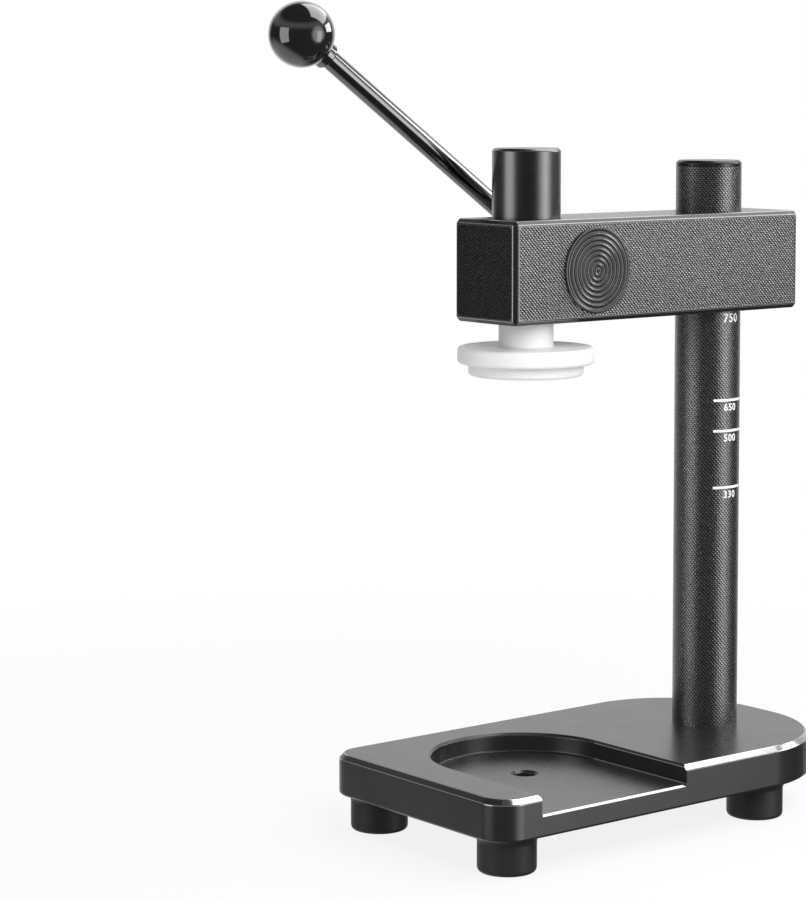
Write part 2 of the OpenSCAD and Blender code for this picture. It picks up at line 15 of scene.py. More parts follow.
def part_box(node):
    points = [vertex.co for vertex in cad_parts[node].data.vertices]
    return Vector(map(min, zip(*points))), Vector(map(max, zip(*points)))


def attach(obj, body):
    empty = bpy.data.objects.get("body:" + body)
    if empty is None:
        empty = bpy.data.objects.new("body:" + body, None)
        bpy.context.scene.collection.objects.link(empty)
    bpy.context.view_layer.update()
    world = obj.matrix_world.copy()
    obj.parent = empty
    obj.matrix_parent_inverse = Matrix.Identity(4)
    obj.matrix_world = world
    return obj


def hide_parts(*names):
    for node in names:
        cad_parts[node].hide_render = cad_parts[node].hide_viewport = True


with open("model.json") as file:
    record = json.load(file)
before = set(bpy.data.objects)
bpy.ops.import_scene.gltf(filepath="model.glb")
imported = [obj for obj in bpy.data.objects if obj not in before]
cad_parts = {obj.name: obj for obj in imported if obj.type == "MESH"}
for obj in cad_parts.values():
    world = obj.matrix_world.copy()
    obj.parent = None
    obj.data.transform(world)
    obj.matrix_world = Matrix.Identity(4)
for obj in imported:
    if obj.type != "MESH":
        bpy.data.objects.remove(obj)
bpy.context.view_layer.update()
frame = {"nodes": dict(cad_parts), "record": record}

MM = 0.001

# %% [markdown]
# ## Sizes read from the frame
# Typing sizes twice is how two models drift apart. Each size below is measured on a CAD node,
# in millimetres, and only what a box can't tell (an angle, a chamfer) is a named value.

# %% Measure the nodes
def span(node):
    """Lowest and highest corner of a CAD node, in millimetres."""
    low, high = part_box(node)
    return low / MM, high / MM


BASE_LOW, BASE_HIGH = span("base_plate")
COLUMN_LOW, COLUMN_HIGH = span("column_tube")
CAP_LOW, CAP_HIGH = span("column_cap")
BEAM_LOW, BEAM_HIGH = span("head_beam")
COVER_LOW, COVER_HIGH = span("pinion_cover")
RAM_LOW, RAM_HIGH = span("ram")
HEAD_LOW, HEAD_HIGH = span("press_head")
HUB_LOW, HUB_HIGH = span("lever_hub")
KNOB_LOW, KNOB_HIGH = span("lock_knob")
COLUMN = (COLUMN_LOW + COLUMN_HIGH) / 2
COLUMN_R = (COLUMN_HIGH.x - COLUMN_LOW.x) / 2
PINION = (COVER_LOW + COVER_HIGH) / 2
BEAM_Y = -BEAM_LOW.y
RAM_R = RAM_HIGH.y
print("base", BASE_LOW[:], BASE_HIGH[:])
print("column radius", round(COLUMN_R, 3), "pinion axis", round(PINION.x, 2), round(PINION.z, 2))

# %% [markdown]
# ## The camera
# The camera stands a little above the base, about 39 degrees to the left of the open side, and
# looks down by less than five degrees. A long lens keeps the verticals nearly upright. The lens
# shift then places the press in the frame without turning the camera any further.

# %% Camera
CAMERA_AT = Vector((-861.36, -999.11, 335.04)) * MM
CAMERA_TURN = math.radians(-38.63)
CAMERA_RISE = math.radians(4.6)
FRAME_SIZE = (806, 900)
FRAME_CENTRE = (420.3, 310.6)
FOCAL_LENGTH = 2846.3

lens = bpy.data.cameras.new("studio_camera")
lens.sensor_width = 36
lens.lens = FOCAL_LENGTH / FRAME_SIZE[1] * lens.sensor_width
lens.shift_x = (FRAME_SIZE[0] / 2 - FRAME_CENTRE[0]) / FRAME_SIZE[1]
lens.shift_y = (FRAME_CENTRE[1] - FRAME_SIZE[1] / 2) / FRAME_SIZE[1]
camera = bpy.data.objects.new("studio_camera", lens)
bpy.context.scene.collection.objects.link(camera)
camera.location = CAMERA_AT
camera.rotation_euler = (math.pi / 2 - CAMERA_RISE, 0, CAMERA_TURN)
bpy.context.scene.camera = camera
print("lens", round(lens.lens, 1), "shift", round(lens.shift_x, 4), round(lens.shift_y, 4))

# %% [markdown]
# ## Helpers for outlines
# Real edges are never perfectly sharp, and a tiny rounding is what catches the light. Rounding
# the 2-D outline before it is turned or lofted gives clean strips, where a bevel on a finished
# mesh has to guess at corners.

# %% Round the corners of an outline
MOST_OF_SIDE = 0.45


def softened(points, radius, steps=4, closed=True):
    """An outline with a short curve at each corner. radius is one value, or one per corner."""
    count = len(points)
    radii = radius if isinstance(radius, (list, tuple)) else [radius] * count
    done = []
    for i, point in enumerate(points):
        here = Vector(point)
        if radii[i] <= 0 or (not closed and i in (0, count - 1)):
            done.append(tuple(here))
            continue
        back = Vector(points[i - 1]) - here
        ahead = Vector(points[(i + 1) % count]) - here
        reach = min(radii[i], MOST_OF_SIDE * back.length, MOST_OF_SIDE * ahead.length)
        start = here + back.normalized() * reach
        end = here + ahead.normalized() * reach
        for k in range(steps + 1):
            s = k / steps
            done.append(tuple((1 - s) ** 2 * start + 2 * s * (1 - s) * here + s * s * end))
    return done


def circle(radius, count, middle=(0, 0), phase=0.0):
    """Points round a circle, anticlockwise."""
    turn = 2 * math.pi / count
    return [
        (middle[0] + radius * math.cos(phase + i * turn), middle[1] + radius * math.sin(phase + i * turn))
        for i in range(count)
    ]


# %% [markdown]
# ## Helpers for meshes
# Most of this press is turned on a lathe or milled from bar. `turned` spins a closed outline,
# `lofted` joins rings of any shape, and `cut` is the milling cutter. Both makers give closed
# shells with quads that run along the surface, and a UV map in millimetres for marks that
# follow it.

# %% Turn and loft
ON_AXIS = 1e-6


def add_piece(name, verts, faces, coords, materials, place=None):
    """A mesh object in the press's own frame, from points in millimetres."""
    mesh = bpy.data.meshes.new(name)
    place = place or Matrix.Identity(4)
    mesh.from_pydata([(place @ Vector(v)) * MM for v in verts], [], faces)
    skin = mesh.uv_layers.new(name="skin")
    flat = [value for pair in coords for value in pair]
    skin.data.foreach_set("uv", flat)
    for material in materials if isinstance(materials, (list, tuple)) else [materials]:
        mesh.materials.append(material)
    piece = bpy.data.objects.new(name, mesh)
    bpy.context.scene.collection.objects.link(piece)
    work = bmesh.new()
    work.from_mesh(mesh)
    bmesh.ops.recalc_face_normals(work, faces=work.faces)
    work.to_mesh(mesh)
    work.free()
    return piece


def turned(name, outline, materials, place=None, steps=128):
    """Spin a closed outline of (radius, height) points about the local Z axis."""
    verts, rows, faces, coords = [], [], [], []
    for radius, height in outline:
        if radius < ON_AXIS:
            rows.append([len(verts)] * steps)
            verts.append((0, 0, height))
        else:
            rows.append(list(range(len(verts), len(verts) + steps)))
            verts += [(x, y, height) for x, y in circle(radius, steps)]
    wide = max(radius for radius, _ in outline)
    run = [0.0]
    for i in range(len(outline)):
        step = Vector(outline[(i + 1) % len(outline)]) - Vector(outline[i])
        run.append(run[-1] + step.length)
    for i in range(len(outline)):
        ahead = (i + 1) % len(outline)
        low, high = rows[i], rows[ahead]
        if outline[i][0] < ON_AXIS and outline[ahead][0] < ON_AXIS:
            continue
        for j in range(steps):
            k = (j + 1) % steps
            corners = [(low[j], j, i), (low[k], j + 1, i), (high[k], j + 1, i + 1), (high[j], j, i + 1)]
            face = []
            for vert, around, onward in corners:
                if vert not in face:
                    face.append(vert)
                    coords.append((around / steps * 2 * math.pi * wide, run[onward]))
            faces.append(face)
    return add_piece(name, verts, faces, coords, materials, place)


def lofted(name, rings, materials, place=None):
    """Join rings of equally many 3-D points, and close both ends."""
    count = len(rings[0])
    verts = [point for ring in rings for point in ring]
    faces = [list(range(count))[::-1]]
    for i in range(len(rings) - 1):
        for j in range(count):
            k = (j + 1) % count
            faces.append([i * count + j, i * count + k, (i + 1) * count + k, (i + 1) * count + j])
    faces.append([(len(rings) - 1) * count + j for j in range(count)])
    coords = [(verts[v][0], verts[v][1]) for face in faces for v in face]
    return add_piece(name, verts, faces, coords, materials, place)


# %% [markdown]
# ## Helpers for finishing a mesh
# A boolean modifier mills one shape out of another. Its result is made a plain mesh at once, so
# nothing stays live on a piece. Smooth shading with weighted normals then keeps wide faces flat
# and corners crisp, and `mount` hands the piece to its body and hides the CAD nodes it replaces.

# %% Cut, join and settle
def baked(piece):
    """Replace a piece's mesh by its evaluated one, with no modifier left."""
    depsgraph = bpy.context.evaluated_depsgraph_get()
    fresh = bpy.data.meshes.new_from_object(
        piece.evaluated_get(depsgraph), preserve_all_data_layers=True, depsgraph=depsgraph
    )
    stale = piece.data
    piece.modifiers.clear()
    piece.data = fresh
    bpy.data.meshes.remove(stale)
    fresh.name = piece.name
    return piece


def cut(piece, cutter, operation="DIFFERENCE"):
    """Mill one closed shape out of another, or weld it on. The cutter is used up."""
    tool = piece.modifiers.new("cut", "BOOLEAN")
    tool.operation = operation
    tool.solver = "EXACT"
    tool.object = cutter
    baked(piece)
    bpy.data.objects.remove(cutter, do_unlink=True)
    return piece


def settle(piece, angle=32):
    """Smooth shading that keeps corners crisp and big flat faces flat."""
    for polygon in piece.data.polygons:
        polygon.use_smooth = True
    piece.data.set_sharp_from_angle(angle=math.radians(angle))
    even = piece.modifiers.new("even", "WEIGHTED_NORMAL")
    even.keep_sharp = True
    return baked(piece)


def mount(piece, body, slot, *nodes):
    """Give a finished piece its body and hide the CAD nodes that it stands for. slot is not used."""
    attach(piece, body)
    if nodes:
        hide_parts(*nodes)
    print(piece.name, "rides on", body, "with", len(piece.data.polygons), "faces")
    return piece


def along(origin, axis):
    """Matrix that puts local Z along an axis at an origin, in millimetres."""
    turn = Vector((0, 0, 1)).rotation_difference(Vector(axis).normalized())
    return Matrix.Translation(Vector(origin)) @ turn.to_matrix().to_4x4()


# %% [markdown]
# ## Helpers for materials
# Every finish is a small node tree on one Principled shader. Texture nodes read Object
# coordinates in metres, so a scale of 1000 gives features of about a millimetre. A value that
# is the same all over is typed on the shader itself.

# %% Finish builder
WOBBLE = 0.45


class Finish:
    """A material under construction: add nodes, link them, and end in the shader."""

    def __init__(self, name, colour, **sockets):
        self.material = bpy.data.materials.new(name)
        self.material.use_nodes = True
        self.tree = self.material.node_tree
        self.shader = self.tree.nodes["Principled BSDF"]
        self.shader.inputs["Base Color"].default_value = (*colour, 1)
        for socket, value in sockets.items():
            self.shader.inputs[socket.replace("_", " ")].default_value = value
        self.coords = self.tree.nodes.new("ShaderNodeTexCoord")

    def node(self, kind, inputs=None, **settings):
        made = self.tree.nodes.new("ShaderNode" + kind)
        for key, value in settings.items():
            setattr(made, key, value)
        for key, value in (inputs or {}).items():
            if isinstance(value, bpy.types.NodeSocket):
                self.tree.links.new(value, made.inputs[key])
            else:
                made.inputs[key].default_value = value
        return made

    def noise(self, scale, detail=2.0, roughness=0.5, stretch=None):
        vector = self.coords.outputs["Object"]
        if stretch:
            vector = self.node("Mapping", {"Vector": vector, "Scale": stretch}).outputs["Vector"]
        sizes = {"Vector": vector, "Scale": scale, "Detail": detail, "Roughness": roughness}
        return self.node("TexNoise", sizes).outputs["Fac"]

    def sum(self, a, b, operation="ADD"):
        return self.node("Math", {0: a, 1: b}, operation=operation).outputs["Value"]

    def spread(self, value, low, high, start=0.3, end=0.7):
        limits = {"Value": value, "From Min": start, "From Max": end, "To Min": low, "To Max": high}
        return self.node("MapRange", limits).outputs["Result"]

    def roughness(self, value, low, high):
        self.tree.links.new(self.spread(value, low, high), self.shader.inputs["Roughness"])

    def colour(self, value, dark, light):
        mixed = self.node("Mix", {"Factor": self.spread(value, 0, 1)}, data_type="RGBA")
        mixed.inputs[6].default_value = (*dark, 1)
        mixed.inputs[7].default_value = (*light, 1)
        self.tree.links.new(mixed.outputs[2], self.shader.inputs["Base Color"])

    def bump(self, height, distance):
        made = self.node("Bump", {"Height": height, "Distance": distance, "Strength": 1.0})
        self.tree.links.new(made.outputs["Normal"], self.shader.inputs["Normal"])
        return self.material

    def hatch(self, source, pitch, first, second, cross):
        """Fine ridges that a crossing family breaks into dashes, a little uneven, about -1 to 1."""
        vector = self.coords.outputs[source]
        uneven = self.sum(self.noise(700), WOBBLE * 2 * math.pi, "MULTIPLY")
        waves = []
        for direction in (first, second):
            lined = self.node("VectorMath", {0: vector, 1: direction}, operation="DOT_PRODUCT")
            phase = self.sum(lined.outputs["Value"], 2 * math.pi / pitch, "MULTIPLY")
            shifted = self.sum(phase, uneven)
            waves.append(self.node("Math", {0: shifted}, operation="SINE").outputs["Value"])
        broken = self.sum(self.sum(waves[1], cross, "MULTIPLY"), 1 - cross)
        lively = self.spread(self.noise(900, 1.0), 0.5, 1.3)
        return self.sum(self.sum(waves[0], broken, "MULTIPLY"), lively, "MULTIPLY")


# %% [markdown]
# ## Finishes of the painted and coated metal
# The base is satin graphite paint. Its chamfers that face the top light take a brighter metal:
# partly their real reflection, partly a painted highlight. The beam and the column carry a
# hatched, leather-like grain that breaks a highlight into sparkles. The beam's border takes a
# lighter paint as a painted highlight, and its end panels a darker grain as painted shade. The
# paint holds metal flake, so it is a dark metallic: it is black until it mirrors something bright.
# Bump is the right tool for grain under a tenth of a millimetre; larger shapes are modelled.

# %% Base, edge and beam finishes
def satin_paint(name, dark, light, rough, **sockets):
    made = Finish(name, dark, **sockets)
    made.colour(made.noise(35, 3.0), dark, light)
    made.roughness(made.noise(90, 3.0), rough - 0.01, rough + 0.02)
    return made.bump(made.noise(1400, 2.0), 0.000001)


FLAKE = 0.85
base_satin = satin_paint("base_satin", (0.100, 0.100, 0.103), (0.112, 0.112, 0.115), 0.27, Metallic=FLAKE)
# A brighter metal for the chamfers that catch the top light: partly real reflection, partly a painted
# highlight.
edge_bright = satin_paint("edge_bright", (0.50, 0.50, 0.51), (0.56, 0.56, 0.57), 0.16, Metallic=0.95)
beam_satin = satin_paint("beam_satin", (0.070, 0.070, 0.072), (0.080, 0.080, 0.082), 0.22, Metallic=FLAKE)
# A lighter copy of the beam paint for the border and the softened edges: a painted highlight.
beam_edge = satin_paint("beam_edge", (0.340, 0.340, 0.345), (0.380, 0.380, 0.385), 0.24, Metallic=FLAKE)
cap_satin = satin_paint("cap_satin", (0.060, 0.060, 0.062), (0.075, 0.075, 0.077), 0.22, Metallic=FLAKE)
print("paints", base_satin.name, edge_bright.name, beam_satin.name, beam_edge.name, cap_satin.name)


# %% Grained coats of the beam and the column
def grained(name, dark, light, rough, source, pitch, first, second, depth, cross=0.35, **sockets):
    made = Finish(name, dark, **sockets)
    ridges = made.hatch(source, pitch, first, second, cross)
    made.colour(made.spread(ridges, 0.3, 0.7, -0.35, 0.9), dark, light)
    made.roughness(made.noise(500, 3.0), rough - 0.04, rough + 0.05)
    return made.bump(ridges, depth)


BEAM_PITCH = 0.0019
BEAM_LINES = ((1, 1, 1), (1, 1, -1))
COLUMN_LINES = ((1, 0.9, 0), (1, -0.9, 0))
NOMINAL_COLUMN_R = 16
RIDGES_ROUND = 58
COLUMN_PITCH = 2 * math.pi * NOMINAL_COLUMN_R / RIDGES_ROUND
beam_grain = grained(
    "beam_grain", (0.018, 0.018, 0.019), (0.480, 0.480, 0.488), 0.30, "Object", BEAM_PITCH, *BEAM_LINES,
    0.00012, Metallic=0.80,
)
# A darker copy of the beam grain for the two end panels: painted shade.
beam_grain_end = grained(
    "beam_grain_end", (0.010, 0.010, 0.011), (0.110, 0.110, 0.113), 0.32, "Object", BEAM_PITCH, *BEAM_LINES,
    0.00010, Metallic=0.80,
)
column_grain = grained(
    "column_grain", (0.030, 0.030, 0.031), (0.520, 0.520, 0.528), 0.27, "UV", COLUMN_PITCH, *COLUMN_LINES,
    0.00006, 0.5, Metallic=0.90,
)
print("grained coats", beam_grain.name, beam_grain_end.name, column_grain.name)

# %% [markdown]
# ## Finishes of the turned metal, rubber and plastic
# A lathe leaves fine rings, so those finishes stretch their noise round the axis. Rubber is dull
# with a soft skin, nylon lets a little light into itself, and the ball is a polished phenolic
# with a clear skin over black.

# %% Turned metal
def lathe_metal(name, dark, light, rough, ring_scale=(0.02, 0.02, 1), depth=0.000004, **sockets):
    """Fine tool marks: noise squeezed along the axis and drawn out round it."""
    made = Finish(name, dark, **sockets)
    marks = made.noise(5200, 3.0, 0.6, ring_scale)
    made.colour(made.noise(60, 3.0), dark, light)
    made.roughness(marks, rough - 0.03, rough + 0.03)
    return made.bump(marks, depth)


ALONG_Y = (0.02, 1, 0.02)
NO_RINGS = (1, 1, 1)
ram_black = lathe_metal(
    "ram_black", (0.200, 0.200, 0.203), (0.225, 0.225, 0.228), 0.30, depth=0.000001, Metallic=1.0
)
cover_turned = lathe_metal(
    "cover_turned", (0.105, 0.105, 0.107), (0.125, 0.125, 0.128), 0.24, ALONG_Y, Metallic=0.85
)
hub_black = lathe_metal(
    "hub_black", (0.120, 0.120, 0.123), (0.140, 0.140, 0.143), 0.28, ALONG_Y, Metallic=0.95
)
rod_black = satin_paint("rod_black", (0.215, 0.215, 0.219), (0.235, 0.235, 0.239), 0.11, Metallic=1.0)
steel_machined = lathe_metal(
    "steel_machined", (0.42, 0.42, 0.43), (0.52, 0.52, 0.53), 0.28, ALONG_Y, Metallic=1.0
)
bush_bronze = lathe_metal("bush_bronze", (0.50, 0.33, 0.13), (0.60, 0.42, 0.18), 0.30, ALONG_Y, Metallic=1.0)
zinc_plate = lathe_metal("zinc_plate", (0.50, 0.50, 0.52), (0.62, 0.63, 0.66), 0.30, NO_RINGS, Metallic=1.0)
black_oxide = lathe_metal(
    "black_oxide", (0.020, 0.020, 0.021), (0.032, 0.032, 0.034), 0.36, NO_RINGS, Metallic=0.8
)
print("turned metals", ram_black.name, cover_turned.name, hub_black.name, rod_black.name)


# %% Rubber and plastic
def moulded(name, dark, light, rough, skin_scale, skin_depth, **sockets):
    made = Finish(name, dark, **sockets)
    made.colour(made.noise(90, 3.0), dark, light)
    made.roughness(made.noise(700, 3.0), rough - 0.05, rough + 0.05)
    return made.bump(made.noise(skin_scale, 3.0, 0.6), skin_depth)


foot_rubber = moulded("foot_rubber", (0.018, 0.018, 0.018), (0.026, 0.026, 0.026), 0.50, 2600, 0.00004)
knob_matte = moulded("knob_matte", (0.020, 0.020, 0.020), (0.028, 0.028, 0.028), 0.46, 3000, 0.00004)
nylon_white = moulded(
    "nylon_white", (0.82, 0.82, 0.815), (0.86, 0.86, 0.855), 0.42, 1500, 0.000008,
    Subsurface_Weight=0.25, Subsurface_Scale=0.002,
)
ball_gloss = moulded(
    "ball_gloss", (0.0060, 0.0060, 0.0065), (0.0080, 0.0080, 0.0085), 0.09, 400, 0.000002,
    Coat_Weight=1.0, Coat_Roughness=0.02, Coat_IOR=1.7, Specular_IOR_Level=0.9,
)
mark_white = moulded("mark_white", (0.93, 0.93, 0.93), (0.97, 0.97, 0.97), 0.50, 3000, 0.000005)
print("moulded", foot_rubber.name, knob_matte.name, nylon_white.name, ball_gloss.name, mark_white.name)

# %% [markdown]
# ## The base plate
# A slab of bar stock with two small front corners, two wide back corners and a chamfer that
# takes a painted highlight where it faces the top light.
# It could be one cube with bevels, but a bevel of this many sizes in one corner tears. The slab
# is lofted from rings instead: the same plan outline, moved inwards at each height. The can
# recess, its open mouth and the holes are then milled out of it with shaped cutters.

# %% Plan outline of the slab
TOP_CHAMFER = 2.5
BOTTOM_CHAMFER = 1.0
FRONT_CORNER_R = 14.0
BACK_CORNER_R = 56.0
RECESS_R = 44.0
RECESS_Z = 10.5
BREAK = 1.2
INNER = 8
SIDE_Y = BASE_HIGH.y


def arc(middle, radius, start, end, count):
    """Points on an arc, with both ends, angles in degrees."""
    made = []
    for i in range(count + 1):
        angle = math.radians(start + (end - start) * i / count)
        made.append((middle[0] + radius * math.cos(angle), middle[1] + radius * math.sin(angle)))
    return made


def slab_outline(inset):
    """The plate's plan, moved inwards by inset."""
    front_x = BASE_LOW.x + FRONT_CORNER_R
    corner_y = SIDE_Y - FRONT_CORNER_R
    back_x, back_y = BASE_HIGH.x - BACK_CORNER_R, SIDE_Y - BACK_CORNER_R
    made = arc((back_x, -back_y), BACK_CORNER_R - inset, -90, 0, 64)
    made += arc((back_x, back_y), BACK_CORNER_R - inset, 0, 90, 64)
    made += arc((front_x, corner_y), FRONT_CORNER_R - inset, 90, 180, 24)
    made += arc((front_x, -corner_y), FRONT_CORNER_R - inset, 180, 270, 24)
    return made


slab_edge = softened(
    [(INNER, 0), (BOTTOM_CHAMFER, 0), (0, BOTTOM_CHAMFER), (0, BASE_HIGH.z - TOP_CHAMFER),
     (TOP_CHAMFER, BASE_HIGH.z), (INNER, BASE_HIGH.z)],
    [0, 0.4, 0.4, 0.45, 0.45, 0], 4, closed=False,
)[1:-1]
slab_rings = [[(x, y, z) for x, y in slab_outline(inset)] for inset, z in slab_edge]
base = lofted("base_slab", slab_rings, [base_satin, edge_bright])
print("slab rings", len(slab_edge))

# %% [markdown]
# ## The recess, its mouth and the holes
# The can stands in a round recess that is open towards the user, so it slides in from that
# side. One lofted cutter makes its wall, its softened rim and the flared mouth in a single cut.
# A wedge breaks the floor's front edge, and turned cutters drill the holes.

# %% Mill the recess and its mouth
PAST_SIDE = 3
MOUTH_FLARE = 0.45
LIP = 0.9
LIP_PAST = 2


def mouth_outline(out):
    """The U of the recess, grown by out, with its mouth flared at the plate's side."""
    r = RECESS_R + out
    far = SIDE_Y + PAST_SIDE
    flare = far - SIDE_Y + MOUTH_FLARE
    made = arc((0, 0), r, 0, 180, 96)
    made += [(-r, -far + flare), (-r - flare, -far), (r + flare, -far), (r, -far + flare)]
    return made


recess_wall = softened(
    [(-6, RECESS_Z), (0, RECESS_Z), (0, BASE_HIGH.z - BREAK), (BREAK + PAST_SIDE, BASE_HIGH.z + PAST_SIDE)],
    [0, 1.0, 0.4, 0], 5, closed=False,
)[1:]
recess_rings = [[(x, y, z) for x, y in mouth_outline(out)] for out, z in recess_wall]
cut(base, lofted("recess_cutter", recess_rings, base_satin))
wedge = [
    (-SIDE_Y + LIP + LIP_PAST, RECESS_Z + LIP_PAST), (-SIDE_Y - LIP_PAST, RECESS_Z - LIP - LIP_PAST),
    (-SIDE_Y - LIP_PAST, RECESS_Z + LIP_PAST),
]
lip_rings = [[(x, y, z) for y, z in wedge] for x in (-RECESS_R + 0.05, RECESS_R - 0.05)]
cut(base, lofted("lip_cutter", lip_rings, base_satin))
print("base faces after milling", len(base.data.polygons))

# %% Drill the holes, paint highlights on the chamfers
FIT = 0.05
HOLE_R = 5.3
UNDER, OVER = -1, 30
POCKET_R, POCKET_TOP = 9.5, 8
BOLT_HOLE_R, BOLT_HOLE_TOP = 5.5, 15
AT_COLUMN = Matrix.Translation((COLUMN.x, 0, 0))
hole = [
    (0, UNDER), (HOLE_R, UNDER), (HOLE_R, RECESS_Z - BREAK), (HOLE_R + BREAK + 2, RECESS_Z + 2),
    (0, RECESS_Z + 2),
]
cut(base, turned("hole_cutter", softened(hole, [0, 0, 0.2, 0, 0]), base_satin))
seat = [(0, COLUMN_LOW.z), (COLUMN_R + FIT, COLUMN_LOW.z), (COLUMN_R + FIT, OVER), (0, OVER)]
cut(base, turned("seat_cutter", seat, base_satin, AT_COLUMN))
pocket = [
    (0, UNDER), (POCKET_R, UNDER), (POCKET_R, POCKET_TOP), (BOLT_HOLE_R, POCKET_TOP),
    (BOLT_HOLE_R, BOLT_HOLE_TOP), (0, BOLT_HOLE_TOP),
]
cut(base, turned("pocket_cutter", pocket, base_satin, AT_COLUMN))


def paint_chamfer_highlight(piece, low_z):
    """Chamfer faces that catch the top light take the second material, a painted highlight; the -X chamfer
    and the recess rim, in shade, keep the dark paint.
    """
    count = 0
    for polygon in piece.data.polygons:
        normal, middle = polygon.normal, polygon.center / MM
        sloping = 0.25 < normal.z < 0.92
        # The -X chamfer and the recess rim lie in shade and keep the dark paint, without the painted
        # highlight.
        inside = middle.xy.length < RECESS_R + 4 and middle.y > -SIDE_Y + PAST_SIDE
        shaded_end_chamfer = normal.x < -0.5 and 0.66 < normal.z < 0.75
        if sloping and middle.z > low_z and not inside and not shaded_end_chamfer:
            polygon.material_index = 1
            count += 1
    return count


print("bright faces", paint_chamfer_highlight(base, RECESS_Z - BREAK))
mount(settle(base), "root", "base_paint", "base_plate")

# %% [markdown]
# ## The feet
# Four moulded rubber feet, each held by a screw and a washer up inside it. A foot is a turned
# shape: straight wall, round toe, and a collar that flares into the base. The same outline is
# spun four times, at the places of the CAD's feet.

# %% Feet
FEET = ("foot_front_near", "foot_front_far", "foot_back_near", "foot_back_far")
FOOT_BORE_R, FOOT_WELL_R, FOOT_WELL_TOP = 2.8, 8, -5
FOOT_FLARE = 1.2
FOOT_GAP = 0.02

for node in FEET:
    low, high = span(node)
    middle = (low + high) / 2
    wide = (high.x - low.x) / 2
    wall = wide - FOOT_FLARE
    outline = softened(
        [(FOOT_BORE_R, FOOT_WELL_TOP), (FOOT_WELL_R, FOOT_WELL_TOP), (FOOT_WELL_R, low.z), (wall, low.z),
         (wall, high.z - 2.6), (wide, high.z - 0.5), (wide, high.z - FOOT_GAP),
         (FOOT_BORE_R, high.z - FOOT_GAP)],
        [0, 0.5, 0.8, 3.2, 1.6, 0.3, 0.1, 0], 6,
    )
    foot = turned(node + "_rubber", outline, foot_rubber, Matrix.Translation((middle.x, middle.y, 0)), 96)
    mount(settle(foot, 40), "root", "foot_rubber", node)

# %% [markdown]
# ## Screws with hexagon sockets
# A socket screw is a shank, a head with a softened rim and a hexagonal well. Cutting the well
# with a boolean works, but lofting rings that change from circle to hexagon is cleaner: the
# rings all have the same number of points, so they join as plain quads.

# %% Socket screw maker
def hexagon(across, count):
    """Points on a hexagon, as many as on the rings that it joins."""
    made = []
    for i in range(count):
        angle = 2 * math.pi * i / count
        off = (angle + math.pi / 6) % (math.pi / 3) - math.pi / 6
        radius = across / 2 / math.cos(off)
        made.append((radius * math.cos(angle), radius * math.sin(angle)))
    return made


def socket_screw(name, shank_r, length, head_r, head_h, across, materials, place):
    """Head below local z = 0, socket downwards, shank above. head_h = 0 makes a grub screw."""
    count = 48
    deep = max(head_h * 0.55, 2.0 if head_h == 0 else 0)
    face = -head_h
    rim = head_r if head_h else shank_r
    steps = [(hexagon(across, count), face + deep), (hexagon(across, count), face + 0.15),
             (hexagon(across + 0.3, count), face)]
    steps += [(circle(r, count), z) for r, z in softened(
        [(rim - 2, face), (rim, face), (rim, 0)], [0, 0.5, 0], 3, closed=False)[1:]]
    if head_h:
        steps.append((circle(shank_r, count), 0))
    steps += [(circle(shank_r, count), length - 0.8), (circle(shank_r - 0.7, count), length)]
    rings = [[(x, y, z) for x, y in outline] for outline, z in steps]
    return lofted(name, rings, materials, place)


# %% [markdown]
# ## Repeating with geometry nodes
# The four foot screws are one shape at four places. A small node tree puts an instance of the
# shape on each point, makes the instances real and sets their finish. Its inputs have names, so
# the same tree also repeats the washers here and the rack's tooth spaces further down.

# %% Repeat a shape on points
def repeated(name, source, places, material):
    """Instances of one mesh at given points, made by a node tree and returned as a plain mesh."""
    tree = bpy.data.node_groups.new(name + "_tree", "GeometryNodeTree")
    tree.interface.new_socket(name="Geometry", in_out="INPUT", socket_type="NodeSocketGeometry")
    tree.interface.new_socket(name="Geometry", in_out="OUTPUT", socket_type="NodeSocketGeometry")
    shape = tree.interface.new_socket(name="Shape", in_out="INPUT", socket_type="NodeSocketObject")
    size = tree.interface.new_socket(name="Size", in_out="INPUT", socket_type="NodeSocketFloat")
    paint = tree.interface.new_socket(name="Finish", in_out="INPUT", socket_type="NodeSocketMaterial")
    nodes, links = tree.nodes, tree.links
    given = nodes.new("NodeGroupInput")
    result = nodes.new("NodeGroupOutput")
    info = nodes.new("GeometryNodeObjectInfo")
    spread = nodes.new("GeometryNodeInstanceOnPoints")
    real = nodes.new("GeometryNodeRealizeInstances")
    coat = nodes.new("GeometryNodeSetMaterial")
    links.new(given.outputs["Shape"], info.inputs["Object"])
    links.new(given.outputs["Geometry"], spread.inputs["Points"])
    links.new(info.outputs["Geometry"], spread.inputs["Instance"])
    links.new(given.outputs["Size"], spread.inputs["Scale"])
    links.new(spread.outputs["Instances"], real.inputs["Geometry"])
    links.new(real.outputs["Geometry"], coat.inputs["Geometry"])
    links.new(given.outputs["Finish"], coat.inputs["Material"])
    links.new(coat.outputs["Geometry"], result.inputs["Geometry"])
    mesh = bpy.data.meshes.new(name)
    mesh.from_pydata([Vector(p) * MM for p in places], [], [])
    piece = bpy.data.objects.new(name, mesh)
    bpy.context.scene.collection.objects.link(piece)
    setup = piece.modifiers.new("repeat", "NODES")
    setup.node_group = tree
    setup[shape.identifier] = source
    setup[size.identifier] = 1.0
    setup[paint.identifier] = material
    baked(piece)
    bpy.data.objects.remove(source, do_unlink=True)
    print(name, "repeats", len(places), "times")
    return piece


# %% Foot screws and washers
WASHER_LOW = -6


def at_feet(z):
    """The middle of each foot, at height z."""
    points = []
    for foot_node in FEET:
        low, high = span(foot_node)
        points.append(((low.x + high.x) / 2, (low.y + high.y) / 2, z))
    return points


